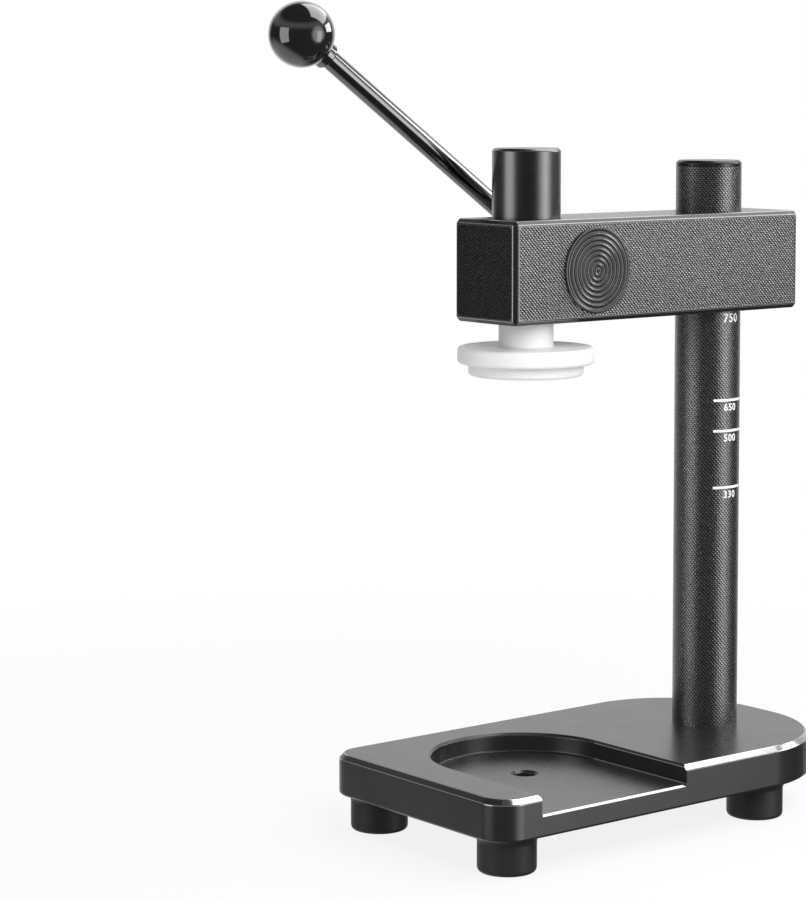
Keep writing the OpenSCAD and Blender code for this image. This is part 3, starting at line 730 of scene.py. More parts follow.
screw = socket_screw(
    "foot_screw", shank_r=2.5, length=14, head_r=4.2, head_h=3, across=3, materials=zinc_plate,
    place=Matrix.Identity(4),
)
screws = repeated("foot_screw_set", screw, at_feet(WASHER_LOW), zinc_plate)
mount(settle(screws), "root", "zinc_steel", "foot_screws")
ring = softened(
    [(2.7, WASHER_LOW), (6.5, WASHER_LOW), (6.5, FOOT_WELL_TOP), (2.7, FOOT_WELL_TOP)], 0.15, 2
)
washer = turned("foot_washer", ring, zinc_plate, None, 48)
washers = repeated("foot_washer_set", washer, at_feet(0), zinc_plate)
mount(settle(washers), "root", "zinc_steel", "foot_washers")

# %% [markdown]
# ## The column
# A thick tube with a hatched powder coat, closed by a smooth cap. Both are turned. The tube's
# UV map runs round and along it in millimetres, so the grain keeps its size and meets itself
# at the seam.

# %% Tube and cap
TUBE_WALL = 2.5
bore_r = COLUMN_R - TUBE_WALL
tube = softened(
    [(bore_r, COLUMN_LOW.z), (COLUMN_R, COLUMN_LOW.z), (COLUMN_R, COLUMN_HIGH.z), (bore_r, COLUMN_HIGH.z)],
    [0.2, 0.3, 0.25, 0.1], 3,
)
sleeve = turned("column_sleeve", tube, column_grain, AT_COLUMN, 160)
mount(settle(sleeve), "root", "column_coat", "column_tube")

CAP_CHAMFER = 1.2
cap = softened(
    [(0, CAP_LOW.z), (bore_r - FIT, CAP_LOW.z), (bore_r - FIT, COLUMN_HIGH.z), (COLUMN_R, COLUMN_HIGH.z),
     (COLUMN_R, CAP_HIGH.z - CAP_CHAMFER), (COLUMN_R - CAP_CHAMFER, CAP_HIGH.z), (0, CAP_HIGH.z)],
    [0, 0.3, 0, 0.25, 0.5, 0.5, 0], 4,
)
lid = turned("column_end_cap", cap, cap_satin, AT_COLUMN, 160)
mount(settle(lid), "root", "cap_metal", "column_cap")

# %% Bolt and washer under the column
BOLT_SEAT = 6.5
bolt = socket_screw(
    "column_bolt_detail", shank_r=5, length=25, head_r=8, head_h=6, across=8, materials=zinc_plate,
    place=Matrix.Translation((COLUMN.x, 0, BOLT_SEAT)),
)
mount(settle(bolt), "root", "zinc_steel", "column_bolt")
ring = softened([(5.25, BOLT_SEAT), (9, BOLT_SEAT), (9, POCKET_TOP), (5.25, POCKET_TOP)], 0.2, 2)
washer = turned("column_washer_detail", ring, zinc_plate, AT_COLUMN, 64)
mount(settle(washer), "root", "zinc_steel", "column_washer")

# %% [markdown]
# ## The height marks
# White lines and plain numbers are printed round the column: the can size in millilitres that
# suits each stop. A decal texture would need an image. Here each mark is a very thin raised
# skin: flat shapes are cut into narrow strips, then wrapped round the tube.

# %% Printed marks
MARK_FROM, MARK_TO = -123.0, -57.0
MARK_SKIN = 0.025
MARK_SUNK = 0.4
LINE_HALF = 0.62
NUMBER_DROP = 1.6
DIGIT_SHARE = 0.72
MARKS = [
    (220.7, "750", 4.2, False), (180.4, "650", 3.5, True), (165.4, "500", 3.5, True),
    (137.6, "330", 3.5, True),
]


def wrapped(name, flat_mesh, strip):
    """Cut a flat X-Z shape into strips and wrap it round the column. Its x runs round from -Y."""
    work = bmesh.new()
    work.from_mesh(flat_mesh)
    xs = [v.co.x for v in work.verts]
    x = min(xs) + strip
    while x < max(xs):
        everything = work.verts[:] + work.edges[:] + work.faces[:]
        bmesh.ops.bisect_plane(work, geom=everything, plane_co=(x, 0, 0), plane_no=(1, 0, 0))
        x += strip
    for vert in work.verts:
        angle = vert.co.x / COLUMN_R - math.pi / 2
        radius = COLUMN_R + MARK_SKIN * (1 if vert.co.y < 0 else -MARK_SUNK)
        x, y = radius * math.cos(angle), radius * math.sin(angle)
        vert.co = Vector((COLUMN.x + x, y, vert.co.z)) * MM
    bmesh.ops.recalc_face_normals(work, faces=work.faces)
    mesh = bpy.data.meshes.new(name)
    work.to_mesh(mesh)
    work.free()
    return mesh


def box_mesh(x0, x1, z0, z1):
    """A flat bar in the X-Z plane, 2 mm thick."""
    mesh = bpy.data.meshes.new("strip")
    points = [(x, y, z) for y in (-1, 1) for x, z in ((x0, z0), (x1, z0), (x1, z1), (x0, z1))]
    sides = [[0, 1, 2, 3], [7, 6, 5, 4]] + [[i, i + 4, (i + 1) % 4 + 4, (i + 1) % 4] for i in range(4)]
    mesh.from_pydata(points, [], sides)
    return mesh


def number_mesh(text, height, middle, top):
    """Digits as a thin solid in millimetres, standing in the X-Z plane."""
    letters = bpy.data.curves.new("digits", "FONT")
    letters.body = text
    letters.size = height / DIGIT_SHARE
    letters.extrude = 0.5
    letters.offset = 0.11
    letters.resolution_u = 4
    letters.space_character = 1.12
    letters.align_x = "CENTER"
    holder = bpy.data.objects.new("digits", letters)
    bpy.context.scene.collection.objects.link(holder)
    mesh = bpy.data.meshes.new_from_object(holder.evaluated_get(bpy.context.evaluated_depsgraph_get()))
    bpy.data.objects.remove(holder, do_unlink=True)
    for vert in mesh.vertices:
        x, y, depth = vert.co
        vert.co = (x + middle, -depth, y + top - height)
    return mesh


def mark_piece(name, meshes):
    """One printed piece from several meshes."""
    work = bmesh.new()
    for mesh in meshes:
        work.from_mesh(mesh)
    whole = bpy.data.meshes.new(name)
    work.to_mesh(whole)
    work.free()
    whole.materials.append(mark_white)
    piece = bpy.data.objects.new(name, whole)
    bpy.context.scene.collection.objects.link(piece)
    return piece


per_degree = math.pi / 180 * COLUMN_R
for z, text, tall, lined in MARKS:
    top = z - NUMBER_DROP if lined else z + tall / 2
    parts = [wrapped("number", number_mesh(text, tall, 0.2, top), 0.5)]
    if lined:
        start, end = (MARK_FROM + 90) * per_degree, (MARK_TO + 90) * per_degree
        line = box_mesh(start, end, z - LINE_HALF, z + LINE_HALF)
        parts.append(wrapped("line", line, 0.8))
    mount(mark_piece("height_mark_" + text, parts), "root", "nylon")

# %% [markdown]
# ## The head beam
# A bar with chamfered edges. Its four upright faces have a grained panel that lies a hair
# deeper than the smooth border round it. The panels are milled as shallow pockets with rounded
# corners, and the cutter's own material gives their floors the grained finish. The border and the
# softened strips of the edges take a lighter paint, a painted highlight, and the two end panels a
# darker copy of the grain, painted shade.

# %% Beam body
BEAM_CHAMFER = 2.0
BEAM_SOFT = 0.45
BOSS_R = 10
# Index 3 is the border's lighter paint, a painted highlight; index 2 is a darker grain for the end panels,
# painted shade.
BEAM_FINISHES = [beam_satin, beam_grain, beam_grain_end, beam_edge]
SIDE_GRAIN, SHADED_END_GRAIN, BORDER = 1, 2, 3
BEAM_MIDDLE = Vector(((BEAM_LOW.x + BEAM_HIGH.x) / 2, 0, (BEAM_LOW.z + BEAM_HIGH.z) / 2))
BEAM_HALF = Vector(((BEAM_HIGH.x - BEAM_LOW.x) / 2, BEAM_Y, (BEAM_HIGH.z - BEAM_LOW.z) / 2))


def chamfered_block(name, middle, half, chamfer, soft, materials):
    """A block with every edge chamfered, and each chamfer's own edges softened."""
    mesh = bpy.data.meshes.new(name)
    work = bmesh.new()
    bmesh.ops.create_cube(work, size=2)
    for vert in work.verts:
        vert.co = Vector(vert.co[i] * half[i] + middle[i] for i in range(3))
    bmesh.ops.bevel(work, geom=work.edges[:], offset=chamfer, segments=1, affect="EDGES")
    bmesh.ops.bevel(
        work, geom=work.edges[:], offset=soft, segments=3, profile=0.5, affect="EDGES", clamp_overlap=True
    )
    for vert in work.verts:
        vert.co *= MM
    bmesh.ops.recalc_face_normals(work, faces=work.faces)
    work.to_mesh(mesh)
    work.free()
    for material in materials:
        mesh.materials.append(material)
    piece = bpy.data.objects.new(name, mesh)
    bpy.context.scene.collection.objects.link(piece)
    return piece


beam = chamfered_block("beam_bar", BEAM_MIDDLE, BEAM_HALF, BEAM_CHAMFER, BEAM_SOFT, BEAM_FINISHES)
# The border faces and the softened strips take the lighter paint, a painted highlight.
for polygon in beam.data.polygons:
    steep = max(abs(value) for value in polygon.normal)
    upright_face = abs(polygon.normal.z) < 0.05 and steep > 0.999
    soft_strip = 0.75 < steep < 0.98
    if upright_face or soft_strip:
        polygon.material_index = BORDER
boss_h = BEAM_HIGH.y - BEAM_Y
boss = softened([(0, -4), (BOSS_R, -4), (BOSS_R, boss_h), (0, boss_h)], [0, 0, 0.8, 0], 4)
boss_place = along((COLUMN.x, BEAM_Y, BEAM_MIDDLE.z), (0, 1, 0))
print("beam half size", BEAM_HALF[:])

# %% Grained panels
PANEL_BORDER = 0.8
PANEL_DEPTH = 0.12
PANEL_CORNER_R = 2.2


def panel_cutter(half_w, half_h, place):
    """A shallow rounded plate, drawn in local X-Y, that ends PANEL_DEPTH under the face."""
    corners = [(half_w, -half_h), (half_w, half_h), (-half_w, half_h), (-half_w, -half_h)]
    rings = []
    for grow, z in ((0, -PANEL_DEPTH), (PANEL_DEPTH * 0.8, 0), (PANEL_DEPTH * 4, 0.5)):
        grown = [(x + math.copysign(grow, x), y + math.copysign(grow, y)) for x, y in corners]
        rings.append([(x, y, z) for x, y in softened(grown, PANEL_CORNER_R, 6)])
    return lofted("panel_cutter", rings, BEAM_FINISHES, place)


inner = BEAM_CHAMFER + PANEL_BORDER
for axis, place, half_w, half_h in (
    ((0, -1, 0), (BEAM_MIDDLE.x, -BEAM_Y, BEAM_MIDDLE.z), BEAM_HALF.x - inner, BEAM_HALF.z - inner),
    ((0, 1, 0), (BEAM_MIDDLE.x, BEAM_Y, BEAM_MIDDLE.z), BEAM_HALF.x - inner, BEAM_HALF.z - inner),
    ((-1, 0, 0), (BEAM_LOW.x, 0, BEAM_MIDDLE.z), BEAM_HALF.y - inner, BEAM_HALF.z - inner),
    ((1, 0, 0), (BEAM_HIGH.x, 0, BEAM_MIDDLE.z), BEAM_HALF.y - inner, BEAM_HALF.z - inner),
):
    out = Vector(axis)
    up = Vector((0, 0, 1))
    side = up.cross(out)
    turn = Matrix((side, up, out)).transposed().to_4x4()
    tool = panel_cutter(half_w, half_h, Matrix.Translation(place) @ turn)
    # The end panels take the darker copy of the grain, painted shade.
    for polygon in tool.data.polygons:
        if abs(polygon.normal.dot(out)) > 0.99:
            polygon.material_index = SIDE_GRAIN if abs(axis[1]) else SHADED_END_GRAIN
    cut(beam, tool)
cut(beam, turned("boss", boss, beam_satin, boss_place, 96), "UNION")
print("beam faces", len(beam.data.polygons))

# %% [markdown]
# ## The bores of the beam
# The beam slides on the column and guides the ram, so both bores go right through, with a small
# chamfer at each end. A stepped bore from the near side takes the cover, the bushes and the
# shaft. Two threaded holes on the far side take the guide screw and the lock's stud.

# %% Bores of the beam
BORE_CHAMFER = 2.8
for x, r in ((0, RAM_R + FIT), (COLUMN.x, COLUMN_R + FIT)):
    bottom, top = BEAM_LOW.z, BEAM_HIGH.z
    tool = softened(
        [(0, bottom - 2), (r + BORE_CHAMFER, bottom - 2), (r, bottom + 0.8), (r, top - 0.8),
         (r + BORE_CHAMFER, top + 2), (0, top + 2)],
        [0, 0, 0.3, 0.3, 0, 0], 3,
    )
    cut(beam, turned("bore_cutter", tool, beam_satin, Matrix.Translation((x, 0, 0)), 128))

print("bores through", COLUMN.x, "and 0")

# %% Pinion bay, guide screw hole and stud hole
COVER_R = (COVER_HIGH.x - COVER_LOW.x) / 2
COVER_T = 3
COVER_SEAT = COVER_T + (COVER_LOW.y + BEAM_Y)
BAY_R, BUSH_R = 14.6, 9
FAR = (0, 1, 0)
bay_end, far_side = BEAM_Y + 9.5, 2 * BEAM_Y + 5
bay = [
    (0, -3), (COVER_R + 0.3, -3), (COVER_R + FIT, 0.25), (COVER_R + FIT, COVER_SEAT),
    (BAY_R, COVER_SEAT), (BAY_R, bay_end), (BUSH_R, bay_end), (BUSH_R, far_side), (0, far_side),
]
cut(beam, turned("bay_cutter", bay, beam_satin, along((PINION.x, -BEAM_Y, PINION.z), FAR), 128))
GUIDE_R, GUIDE_FROM = 2.5, 10
GUIDE_Z = BEAM_LOW.z + 9
deep = BEAM_Y - GUIDE_FROM
guide = [
    (0, 0), (GUIDE_R, 0), (GUIDE_R, deep - 0.3), (GUIDE_R + 0.4, deep + 0.3), (GUIDE_R + 0.4, deep + 2),
    (0, deep + 2),
]
cut(beam, turned("guide_cutter", guide, beam_satin, along((0, GUIDE_FROM, GUIDE_Z), FAR), 48))
STUD_HOLE_R, STUD_MOUTH_R = 4.05, 4.8
boss_end = BEAM_HIGH.y
stud_hole = [
    (0, 0), (STUD_HOLE_R, 0), (STUD_HOLE_R, boss_end - 0.4), (STUD_MOUTH_R, boss_end + 0.4),
    (STUD_MOUTH_R, boss_end + 2), (0, boss_end + 2),
]
cut(beam, turned("stud_cutter", stud_hole, beam_satin, along((COLUMN.x, 0, BEAM_MIDDLE.z), FAR), 64))
mount(settle(beam), "head", "beam_coat", "head_beam")

# %% [markdown]
# ## The cover disc with its rings
# The pinion's cover is faced on a lathe with a round-nosed tool, which leaves real rings: a
# scalloped outline, spun once. A normal map would flatten as soon as the view turns.

# %% Cover disc
RINGS = 8
SPIGOT_R = 14.55
COVER_FLOOR = 2.5
pitch = (COVER_R - 1.2) / RINGS
face = [(0, 0.0)]
for i in range(RINGS):
    inner_r = i * pitch
    for share, depth in ((0.12, 0.0), (0.32, 0.38), (0.58, 0.52), (0.82, 0.38), (0.97, 0.0)):
        face.append((inner_r + share * pitch, depth))
face += [(COVER_R - 0.5, 0.0), (COVER_R - 0.1, 0.25), (COVER_R, 0.7)]
spigot_l = COVER_HIGH.y - COVER_LOW.y
disc = face + [
    (COVER_R, COVER_T), (SPIGOT_R, COVER_T), (SPIGOT_R, spigot_l), (BUSH_R, spigot_l),
    (BUSH_R, COVER_FLOOR), (0, COVER_FLOOR),
]
cover_place = along((PINION.x, COVER_LOW.y, PINION.z), FAR)
cover = turned("pinion_cover_rings", disc, cover_turned, cover_place, 160)
relief = [(0, BEAM_LOW.z), (RAM_R + 0.3, BEAM_LOW.z), (RAM_R + 0.3, BEAM_HIGH.z), (0, BEAM_HIGH.z)]
cut(cover, turned("relief_cutter", relief, cover_turned, None, 128))
mount(settle(cover, 50), "head", "cover_metal", "pinion_cover")

# %% Guide screw in the far side
NEAR = (0, -1, 0)
GRUB_R = 2.45
grub = socket_screw(
    "ram_guide_grub", shank_r=GRUB_R, length=3.4, head_r=0, head_h=0, across=2.5, materials=black_oxide,
    place=along((0, BEAM_Y - 0.35, GUIDE_Z), NEAR),
)
mount(settle(grub), "head", "black_oxide")

# %% [markdown]
# ## The ram
# A blackened bar that slides in the beam, with a rack cut into its back and a keyway down its
# far side. The rack's gullets are a repeat, so geometry nodes lay out one tooth-space cutter
# along the rack, and the whole row is milled in a single cut.

# %% Ram bar, rack and keyway
MODULE = 2.0
TOOTH_PITCH = math.pi * MODULE
TEETH = 12
PRESSURE_ANGLE = math.radians(20)
PITCH_OFFSET = PINION.x - MODULE * TEETH / 2
RAM_CHAMFER = 1.2
ENGAGED, RAM_UP, RAM_DOWN = 9, 4.5, 18
bar = softened(
    [(0, RAM_LOW.z), (RAM_R, RAM_LOW.z), (RAM_R, RAM_HIGH.z - RAM_CHAMFER),
     (RAM_R - RAM_CHAMFER, RAM_HIGH.z), (0, RAM_HIGH.z)],
    [0, 0.5, 0.5, 0.5, 0], 4,
)
ram = turned("ram_bar", bar, ram_black, None, 160)
rack_low = BEAM_MIDDLE.z - ENGAGED - RAM_UP
rack_high = BEAM_MIDDLE.z + ENGAGED + RAM_DOWN
half = TOOTH_PITCH / 4 + 0.05
slope = math.tan(PRESSURE_ANGLE)
root, crest = -1.2 * MODULE, MODULE + 0.6
gullet = [
    (PITCH_OFFSET + root, -half - root * slope), (PITCH_OFFSET + crest, -half - crest * slope),
    (PITCH_OFFSET + crest, half + crest * slope), (PITCH_OFFSET + root, half + root * slope),
]
across = (-RAM_R - 1, RAM_R + 1)
tooth_space = lofted("tooth_space", [[(x, y, z) for x, z in gullet] for y in across], ram_black)
count_down = int((BEAM_MIDDLE.z - rack_low) // TOOTH_PITCH)
count_up = int((rack_high - BEAM_MIDDLE.z) // TOOTH_PITCH)
places = [(0, 0, BEAM_MIDDLE.z + i * TOOTH_PITCH) for i in range(-count_down, count_up + 1)]
row = repeated("rack_cutter", tooth_space, places, ram_black)

# %% Mill the rack and the keyway
TOOTH_TOP = 0.62
KEYWAY_HALF, KEYWAY_DEPTH, KEYWAY_L = 2, 2.5, 30.5
flat_x = PITCH_OFFSET + TOOTH_TOP * MODULE
flat = [(flat_x, -RAM_R - 1), (flat_x + RAM_R, -RAM_R - 1), (flat_x + RAM_R, RAM_R + 1), (flat_x, RAM_R + 1)]
flat_rings = [[(x, y, z) for x, y in flat] for z in (rack_low - 1, rack_high + 1)]
cut(ram, lofted("flat_cutter", flat_rings, ram_black))
cut(ram, row)
key_floor = RAM_R - KEYWAY_DEPTH
key = [
    (-KEYWAY_HALF, key_floor), (KEYWAY_HALF, key_floor), (KEYWAY_HALF, RAM_R + 3), (-KEYWAY_HALF, RAM_R + 3)
]
key_low = GUIDE_Z - RAM_UP - 4
key_rings = [[(x, y, z) for x, y in key] for z in (key_low, key_low + KEYWAY_L)]
cut(ram, lofted("key_cutter", key_rings, ram_black))
mount(settle(ram), "ram", "ram_metal", "ram")

# %% [markdown]
# ## The press head
# White nylon, turned in one piece: a stem, a disc with a full round rim, a thinner step that
# centres in the lid, and a screw pocket from below.

# %% Press head and its screw
STEM_R = 12.8
STEP_R, STEP_H, DISC_TOP = 27, 5.5, 13.5
SCREW_WELL_R, SCREW_WELL_H, SCREW_HOLE_R = 7.8, 8.5, 3.3
SCREW_SEAT = 7
head_r = HEAD_HIGH.x
step_z, top_z = HEAD_LOW.z, HEAD_HIGH.z
disc_low, disc_high = step_z + STEP_H, step_z + DISC_TOP
well_top = step_z + SCREW_WELL_H
head = softened(
    [(SCREW_HOLE_R, well_top), (SCREW_WELL_R, well_top), (SCREW_WELL_R, step_z), (STEP_R - 1, step_z),
     (STEP_R, step_z + 1.4), (STEP_R, disc_low), (head_r, disc_low), (head_r, disc_high),
     (STEM_R, disc_high), (STEM_R, top_z), (SCREW_HOLE_R, top_z)],
    [0.1, 0.3, 0.5, 0.9, 0.8, 0.5, 2.4, 2.2, 0.9, 0.5, 0.2], 7,
)
mount(settle(turned("press_head_nylon", head, nylon_white, None, 160), 40), "ram", "nylon", "press_head")
seat_z = step_z + SCREW_SEAT
screw = socket_screw(
    "press_head_screw_detail", shank_r=3, length=RAM_LOW.z - step_z - SCREW_SEAT + 13, head_r=5, head_h=6,
    across=5, materials=zinc_plate, place=Matrix.Translation((0, 0, seat_z)),
)
mount(settle(screw), "ram", "zinc_steel", "press_head_screw")
ring = softened([(3.2, seat_z), (7.5, seat_z), (7.5, well_top), (3.2, well_top)], 0.2, 2)
washer = turned("press_head_washer_detail", ring, zinc_plate, None, 64)
mount(settle(washer), "ram", "zinc_steel", "press_head_washer")

# %% [markdown]
# ## The lever
# The hub clamps a polished rod, which carries a ball knob on a small collar. All of them are
# turned, and one matrix puts them on the rod's own axis, so the angle is written once.

# %% Rod, collar and ball
ROD_ANGLE = math.radians(35.2)
ROD_OFFSET = 13.1
BALL_REACH = 169.0
ROD_START = 0.0
BALL_R = 15.0
ROD_R = 4.5
THREAD_R, THREAD_L = 4, 15
INSERT_R = 6
COLLAR_T, COLLAR_L = 1.8, 4
rod_y = (HUB_LOW.y + HUB_HIGH.y) / 2
rod_axis = Vector((-math.cos(ROD_ANGLE), 0, math.sin(ROD_ANGLE)))
rod_side = Vector((math.sin(ROD_ANGLE), 0, math.cos(ROD_ANGLE)))
rod_origin = Vector((PINION.x, rod_y, PINION.z)) + rod_side * ROD_OFFSET
on_rod = along(rod_origin, rod_axis)

ball_flat_r = ROD_R + 2.3
ball_foot = BALL_REACH - math.sqrt(BALL_R ** 2 - ball_flat_r ** 2)
thread_end = ball_foot + THREAD_L
rod = softened(
    [(0, ROD_START), (ROD_R, ROD_START), (ROD_R, ball_foot), (THREAD_R, ball_foot),
     (THREAD_R, thread_end), (0, thread_end)],
    [0, 0.4, 0.2, 0.1, 0.4, 0], 4,
)
mount(settle(turned("lever_rod_bar", rod, rod_black, on_rod, 64)), "lever", "rod_metal", "lever_rod")
collar_r, collar_low = ROD_R + COLLAR_T, ball_foot - COLLAR_L
collar = softened(
    [(ROD_R, collar_low), (collar_r, collar_low), (collar_r, ball_foot), (ROD_R, ball_foot)],
    [0.1, 0.6, 0.5, 0.1], 4,
)
mount(settle(turned("ball_collar_ring", collar, rod_black, on_rod, 64)), "lever", "rod_metal", "ball_collar")

# %% Ball knob
BALL_STEPS = 64
lowest = math.degrees(math.asin((ball_foot - BALL_REACH) / BALL_R))
shell = [
    (BALL_R * math.cos(math.radians(a)), BALL_REACH + BALL_R * math.sin(math.radians(a)))
    for a in [lowest + (90 - lowest) * i / BALL_STEPS for i in range(BALL_STEPS)]
]
bore_end = thread_end + 1
ball = [(0, bore_end), (INSERT_R, bore_end), (INSERT_R, ball_foot), (ball_flat_r - 0.25, ball_foot)]
ball += shell[1:] + [(0, BALL_REACH + BALL_R)]
knob = turned("ball_knob_gloss", ball, ball_gloss, on_rod, 128)
mount(settle(knob, 50), "lever", "knob_gloss", "ball_knob")

# %% [markdown]
# ## The hub
# The hub sits on the shaft's far end. It is a turned disc with a shallow dish for the washer,
# a cross bore for the rod, off the shaft's axis, and a threaded hole for the screw that grips
# the rod. The cross bore is cut with the rod's own matrix, so rod and bore can't disagree.

# %% Hub body
SHAFT_R = 7.0
DISH_R, DISH_FLOOR_R, DISH_H = 12.2, 11.8, 0.5
ROD_BORE_L = 45
SET_REACH = 10
SET_HOLE_R, SET_MOUTH_R = 2.5, 3.1
SET_SUNK = 0.4
hub_r = (HUB_HIGH.x - HUB_LOW.x) / 2
hub_w = HUB_HIGH.y - HUB_LOW.y
hub = softened(
    [(SHAFT_R + FIT, 0), (hub_r - 1, 0), (hub_r, 1), (hub_r, hub_w - 1.2), (hub_r - 1.2, hub_w),
     (DISH_R, hub_w), (DISH_FLOOR_R, hub_w - DISH_H), (SHAFT_R + FIT, hub_w - DISH_H)],
    [0, 0.4, 0.4, 0.5, 0.5, 0.15, 0.15, 0], 4,
)
hub_piece = turned("lever_hub_body", hub, hub_black, along((PINION.x, HUB_LOW.y, PINION.z), FAR), 128)
rod_bore = [(0, ROD_START), (ROD_R + FIT, ROD_START), (ROD_R + FIT, ROD_BORE_L), (0, ROD_BORE_L)]
cut(hub_piece, turned("rod_bore", rod_bore, hub_black, on_rod, 64))
set_at = rod_origin + rod_axis * SET_REACH
set_bore = [
    (0, 0), (SET_HOLE_R, 0), (SET_HOLE_R, hub_w / 2 - SET_SUNK), (SET_MOUTH_R, hub_w / 2 + 0.3),
    (SET_MOUTH_R, hub_w), (0, hub_w),
]
cut(hub_piece, turned("set_bore", set_bore, hub_black, along(set_at, FAR), 48))
mount(settle(hub_piece), "lever", "hub_metal", "lever_hub")

# %% Set screw, washer and end screw
set_screw = socket_screw(
    "rod_set_screw_detail", shank_r=GRUB_R, length=hub_w / 2 - ROD_R - 0.5, head_r=0, head_h=0, across=2.5,
    materials=black_oxide, place=along(set_at + Vector((0, hub_w / 2 - SET_SUNK, 0)), NEAR),
)
mount(settle(set_screw), "lever", "black_oxide", "rod_set_screw")
END_WASHER_T = 1.5
ring = softened(
    [(3.2, -0.45), (10, -0.45), (10, END_WASHER_T), (3.2, END_WASHER_T)], [0.1, 0.1, 0.4, 0.2], 3
)
washer_place = along((PINION.x, HUB_HIGH.y, PINION.z), FAR)
washer = turned("hub_end_washer_detail", ring, black_oxide, washer_place, 96)
mount(settle(washer), "lever", "black_oxide", "hub_end_washer")
end_screw = socket_screw(
    "hub_end_screw_detail", shank_r=3, length=12.5, head_r=5, head_h=4, across=4, materials=black_oxide,
    place=along((PINION.x, HUB_HIGH.y + END_WASHER_T, PINION.z), NEAR),
)
mount(settle(end_screw), "lever", "black_oxide", "hub_end_screw")

# %% [markdown]
# ## The column lock
# A moulded knob with finger hollows. Its section is a circle bitten by six smaller circles, so
# the outline is worked out angle by angle, and rings of it are lofted along the knob.

# %% Lock knob
LOBES = 6
KNOB_R = 13.5
HOLLOW_R, HOLLOW_OUT = 4.2, 2.2
STUD_R = 4.0
SHARPNESS = 10.0
knob_l = KNOB_HIGH.y - KNOB_LOW.y


def lobed(radius, count=240):
    """Section of the knob at a radius: a smooth minimum of the circle and its hollows."""
    made = []
    reach = KNOB_R + HOLLOW_OUT
    for i in range(count):
        angle = 2 * math.pi * i / count
        off = (angle + math.pi / LOBES) % (2 * math.pi / LOBES) - math.pi / LOBES
        side = reach * math.sin(abs(off))
        r = KNOB_R
        if side < HOLLOW_R:
            bite = reach * math.cos(off) - math.sqrt(HOLLOW_R ** 2 - side ** 2)
            both = math.exp(-SHARPNESS * bite / 4) + math.exp(-SHARPNESS * r / 4)
            r = -math.log(both) / SHARPNESS * 4
        r = r - (KNOB_R - radius)
        made.append((r * math.cos(angle), r * math.sin(angle)))
    return made


profile = softened(
    [(4.1, 0), (8.4, 0), (12.5, 3), (KNOB_R, 4.5), (KNOB_R, knob_l - 2), (KNOB_R - 2, knob_l), (4, knob_l)],
    [0, 0.6, 1.2, 1.2, 1.8, 1.8, 0], 5, closed=False,
)
rings = [[(x, y, z) for x, y in lobed(r)] for r, z in profile]
knob_place = along((COLUMN.x, KNOB_LOW.y, PINION.z), FAR)
knob = lofted("lock_knob_moulded", rings, knob_matte, knob_place)
well_end = knob_l - 4
stud_well = [(0, UNDER), (STUD_R, UNDER), (STUD_R, well_end), (0, well_end)]
cut(knob, turned("stud_well", stud_well, knob_matte, knob_place, 48))
mount(settle(knob, 40), "lock", "knob_matte", "lock_knob")
print("knob length", round(knob_l, 3))

# %% [markdown]
# ## Nodes that stay as the CAD made them
# Bushes, keys, the pinion and other works are already right and mostly out of sight. They keep
# their CAD mesh and take a procedural finish by their material slot.

# %% Finish the CAD nodes
FINISH_OF_SLOT = {
    "base_paint": base_satin, "foot_rubber": foot_rubber, "zinc_steel": zinc_plate,
    "column_coat": cap_satin, "cap_metal": cap_satin, "beam_coat": beam_satin,
    "cover_metal": cover_turned, "bush_bronze": bush_bronze, "machined_steel": steel_machined,
    "nylon": nylon_white, "hub_metal": hub_black, "black_oxide": black_oxide, "rod_metal": rod_black,
    "knob_gloss": ball_gloss, "ram_metal": ram_black, "knob_matte": knob_matte,
}
for row in frame["record"]["subparts"]:
    node = frame["nodes"][row["node"]]
    node.data.materials.clear()
    node.data.materials.append(FINISH_OF_SLOT[row["material_slot"]])

# %% [markdown]
# ## The floor
# A plain pale floor that fades into a white surround, so no horizon shows. Its shader mixes a
# matt surface near the press with plain white further away, by distance alone. The white is a
# little weaker for bounced light, so the floor doesn't flood the dark metal from below.

# %% Floor
FLOOR_Z, FLOOR_R = -17, 60000
floor_mesh = bpy.data.meshes.new("floor")
floor_mesh.from_pydata([Vector((x, y, FLOOR_Z)) * MM for x, y in circle(FLOOR_R, 64)], [], [list(range(64))])
floor = bpy.data.objects.new("floor", floor_mesh)
bpy.context.scene.collection.objects.link(floor)
pale = bpy.data.materials.new("pale_floor")
pale.use_nodes = True
tree = pale.node_tree
shader = tree.nodes["Principled BSDF"]
shader.inputs["Base Color"].default_value = (0.9, 0.9, 0.9, 1)
shader.inputs["Roughness"].default_value = 0.8
shader.inputs["Specular IOR Level"].default_value = 0.1
coords = tree.nodes.new("ShaderNodeTexCoord")
distance = tree.nodes.new("ShaderNodeVectorMath")
distance.operation = "LENGTH"
fade = tree.nodes.new("ShaderNodeMapRange")
fade.interpolation_type = "SMOOTHSTEP"
fade.inputs["From Min"].default_value = 0.22
fade.inputs["From Max"].default_value = 0.75
fade.inputs["To Min"].default_value = 0.86
white = tree.nodes.new("ShaderNodeEmission")
path = tree.nodes.new("ShaderNodeLightPath")
glare = tree.nodes.new("ShaderNodeMapRange")
glare.inputs["To Min"].default_value = 0.80
tree.links.new(path.outputs["Is Camera Ray"], glare.inputs["Value"])
tree.links.new(glare.outputs["Result"], white.inputs["Strength"])
blend = tree.nodes.new("ShaderNodeMixShader")
tree.links.new(coords.outputs["Object"], distance.inputs[0])
tree.links.new(distance.outputs["Value"], fade.inputs["Value"])
tree.links.new(fade.outputs["Result"], blend.inputs["Fac"])
tree.links.new(shader.outputs["BSDF"], blend.inputs[1])
tree.links.new(white.outputs["Emission"], blend.inputs[2])
tree.links.new(blend.outputs["Shader"], tree.nodes["Material Output"].inputs["Surface"])
floor_mesh.materials.append(pale)
floor.visible_glossy = False
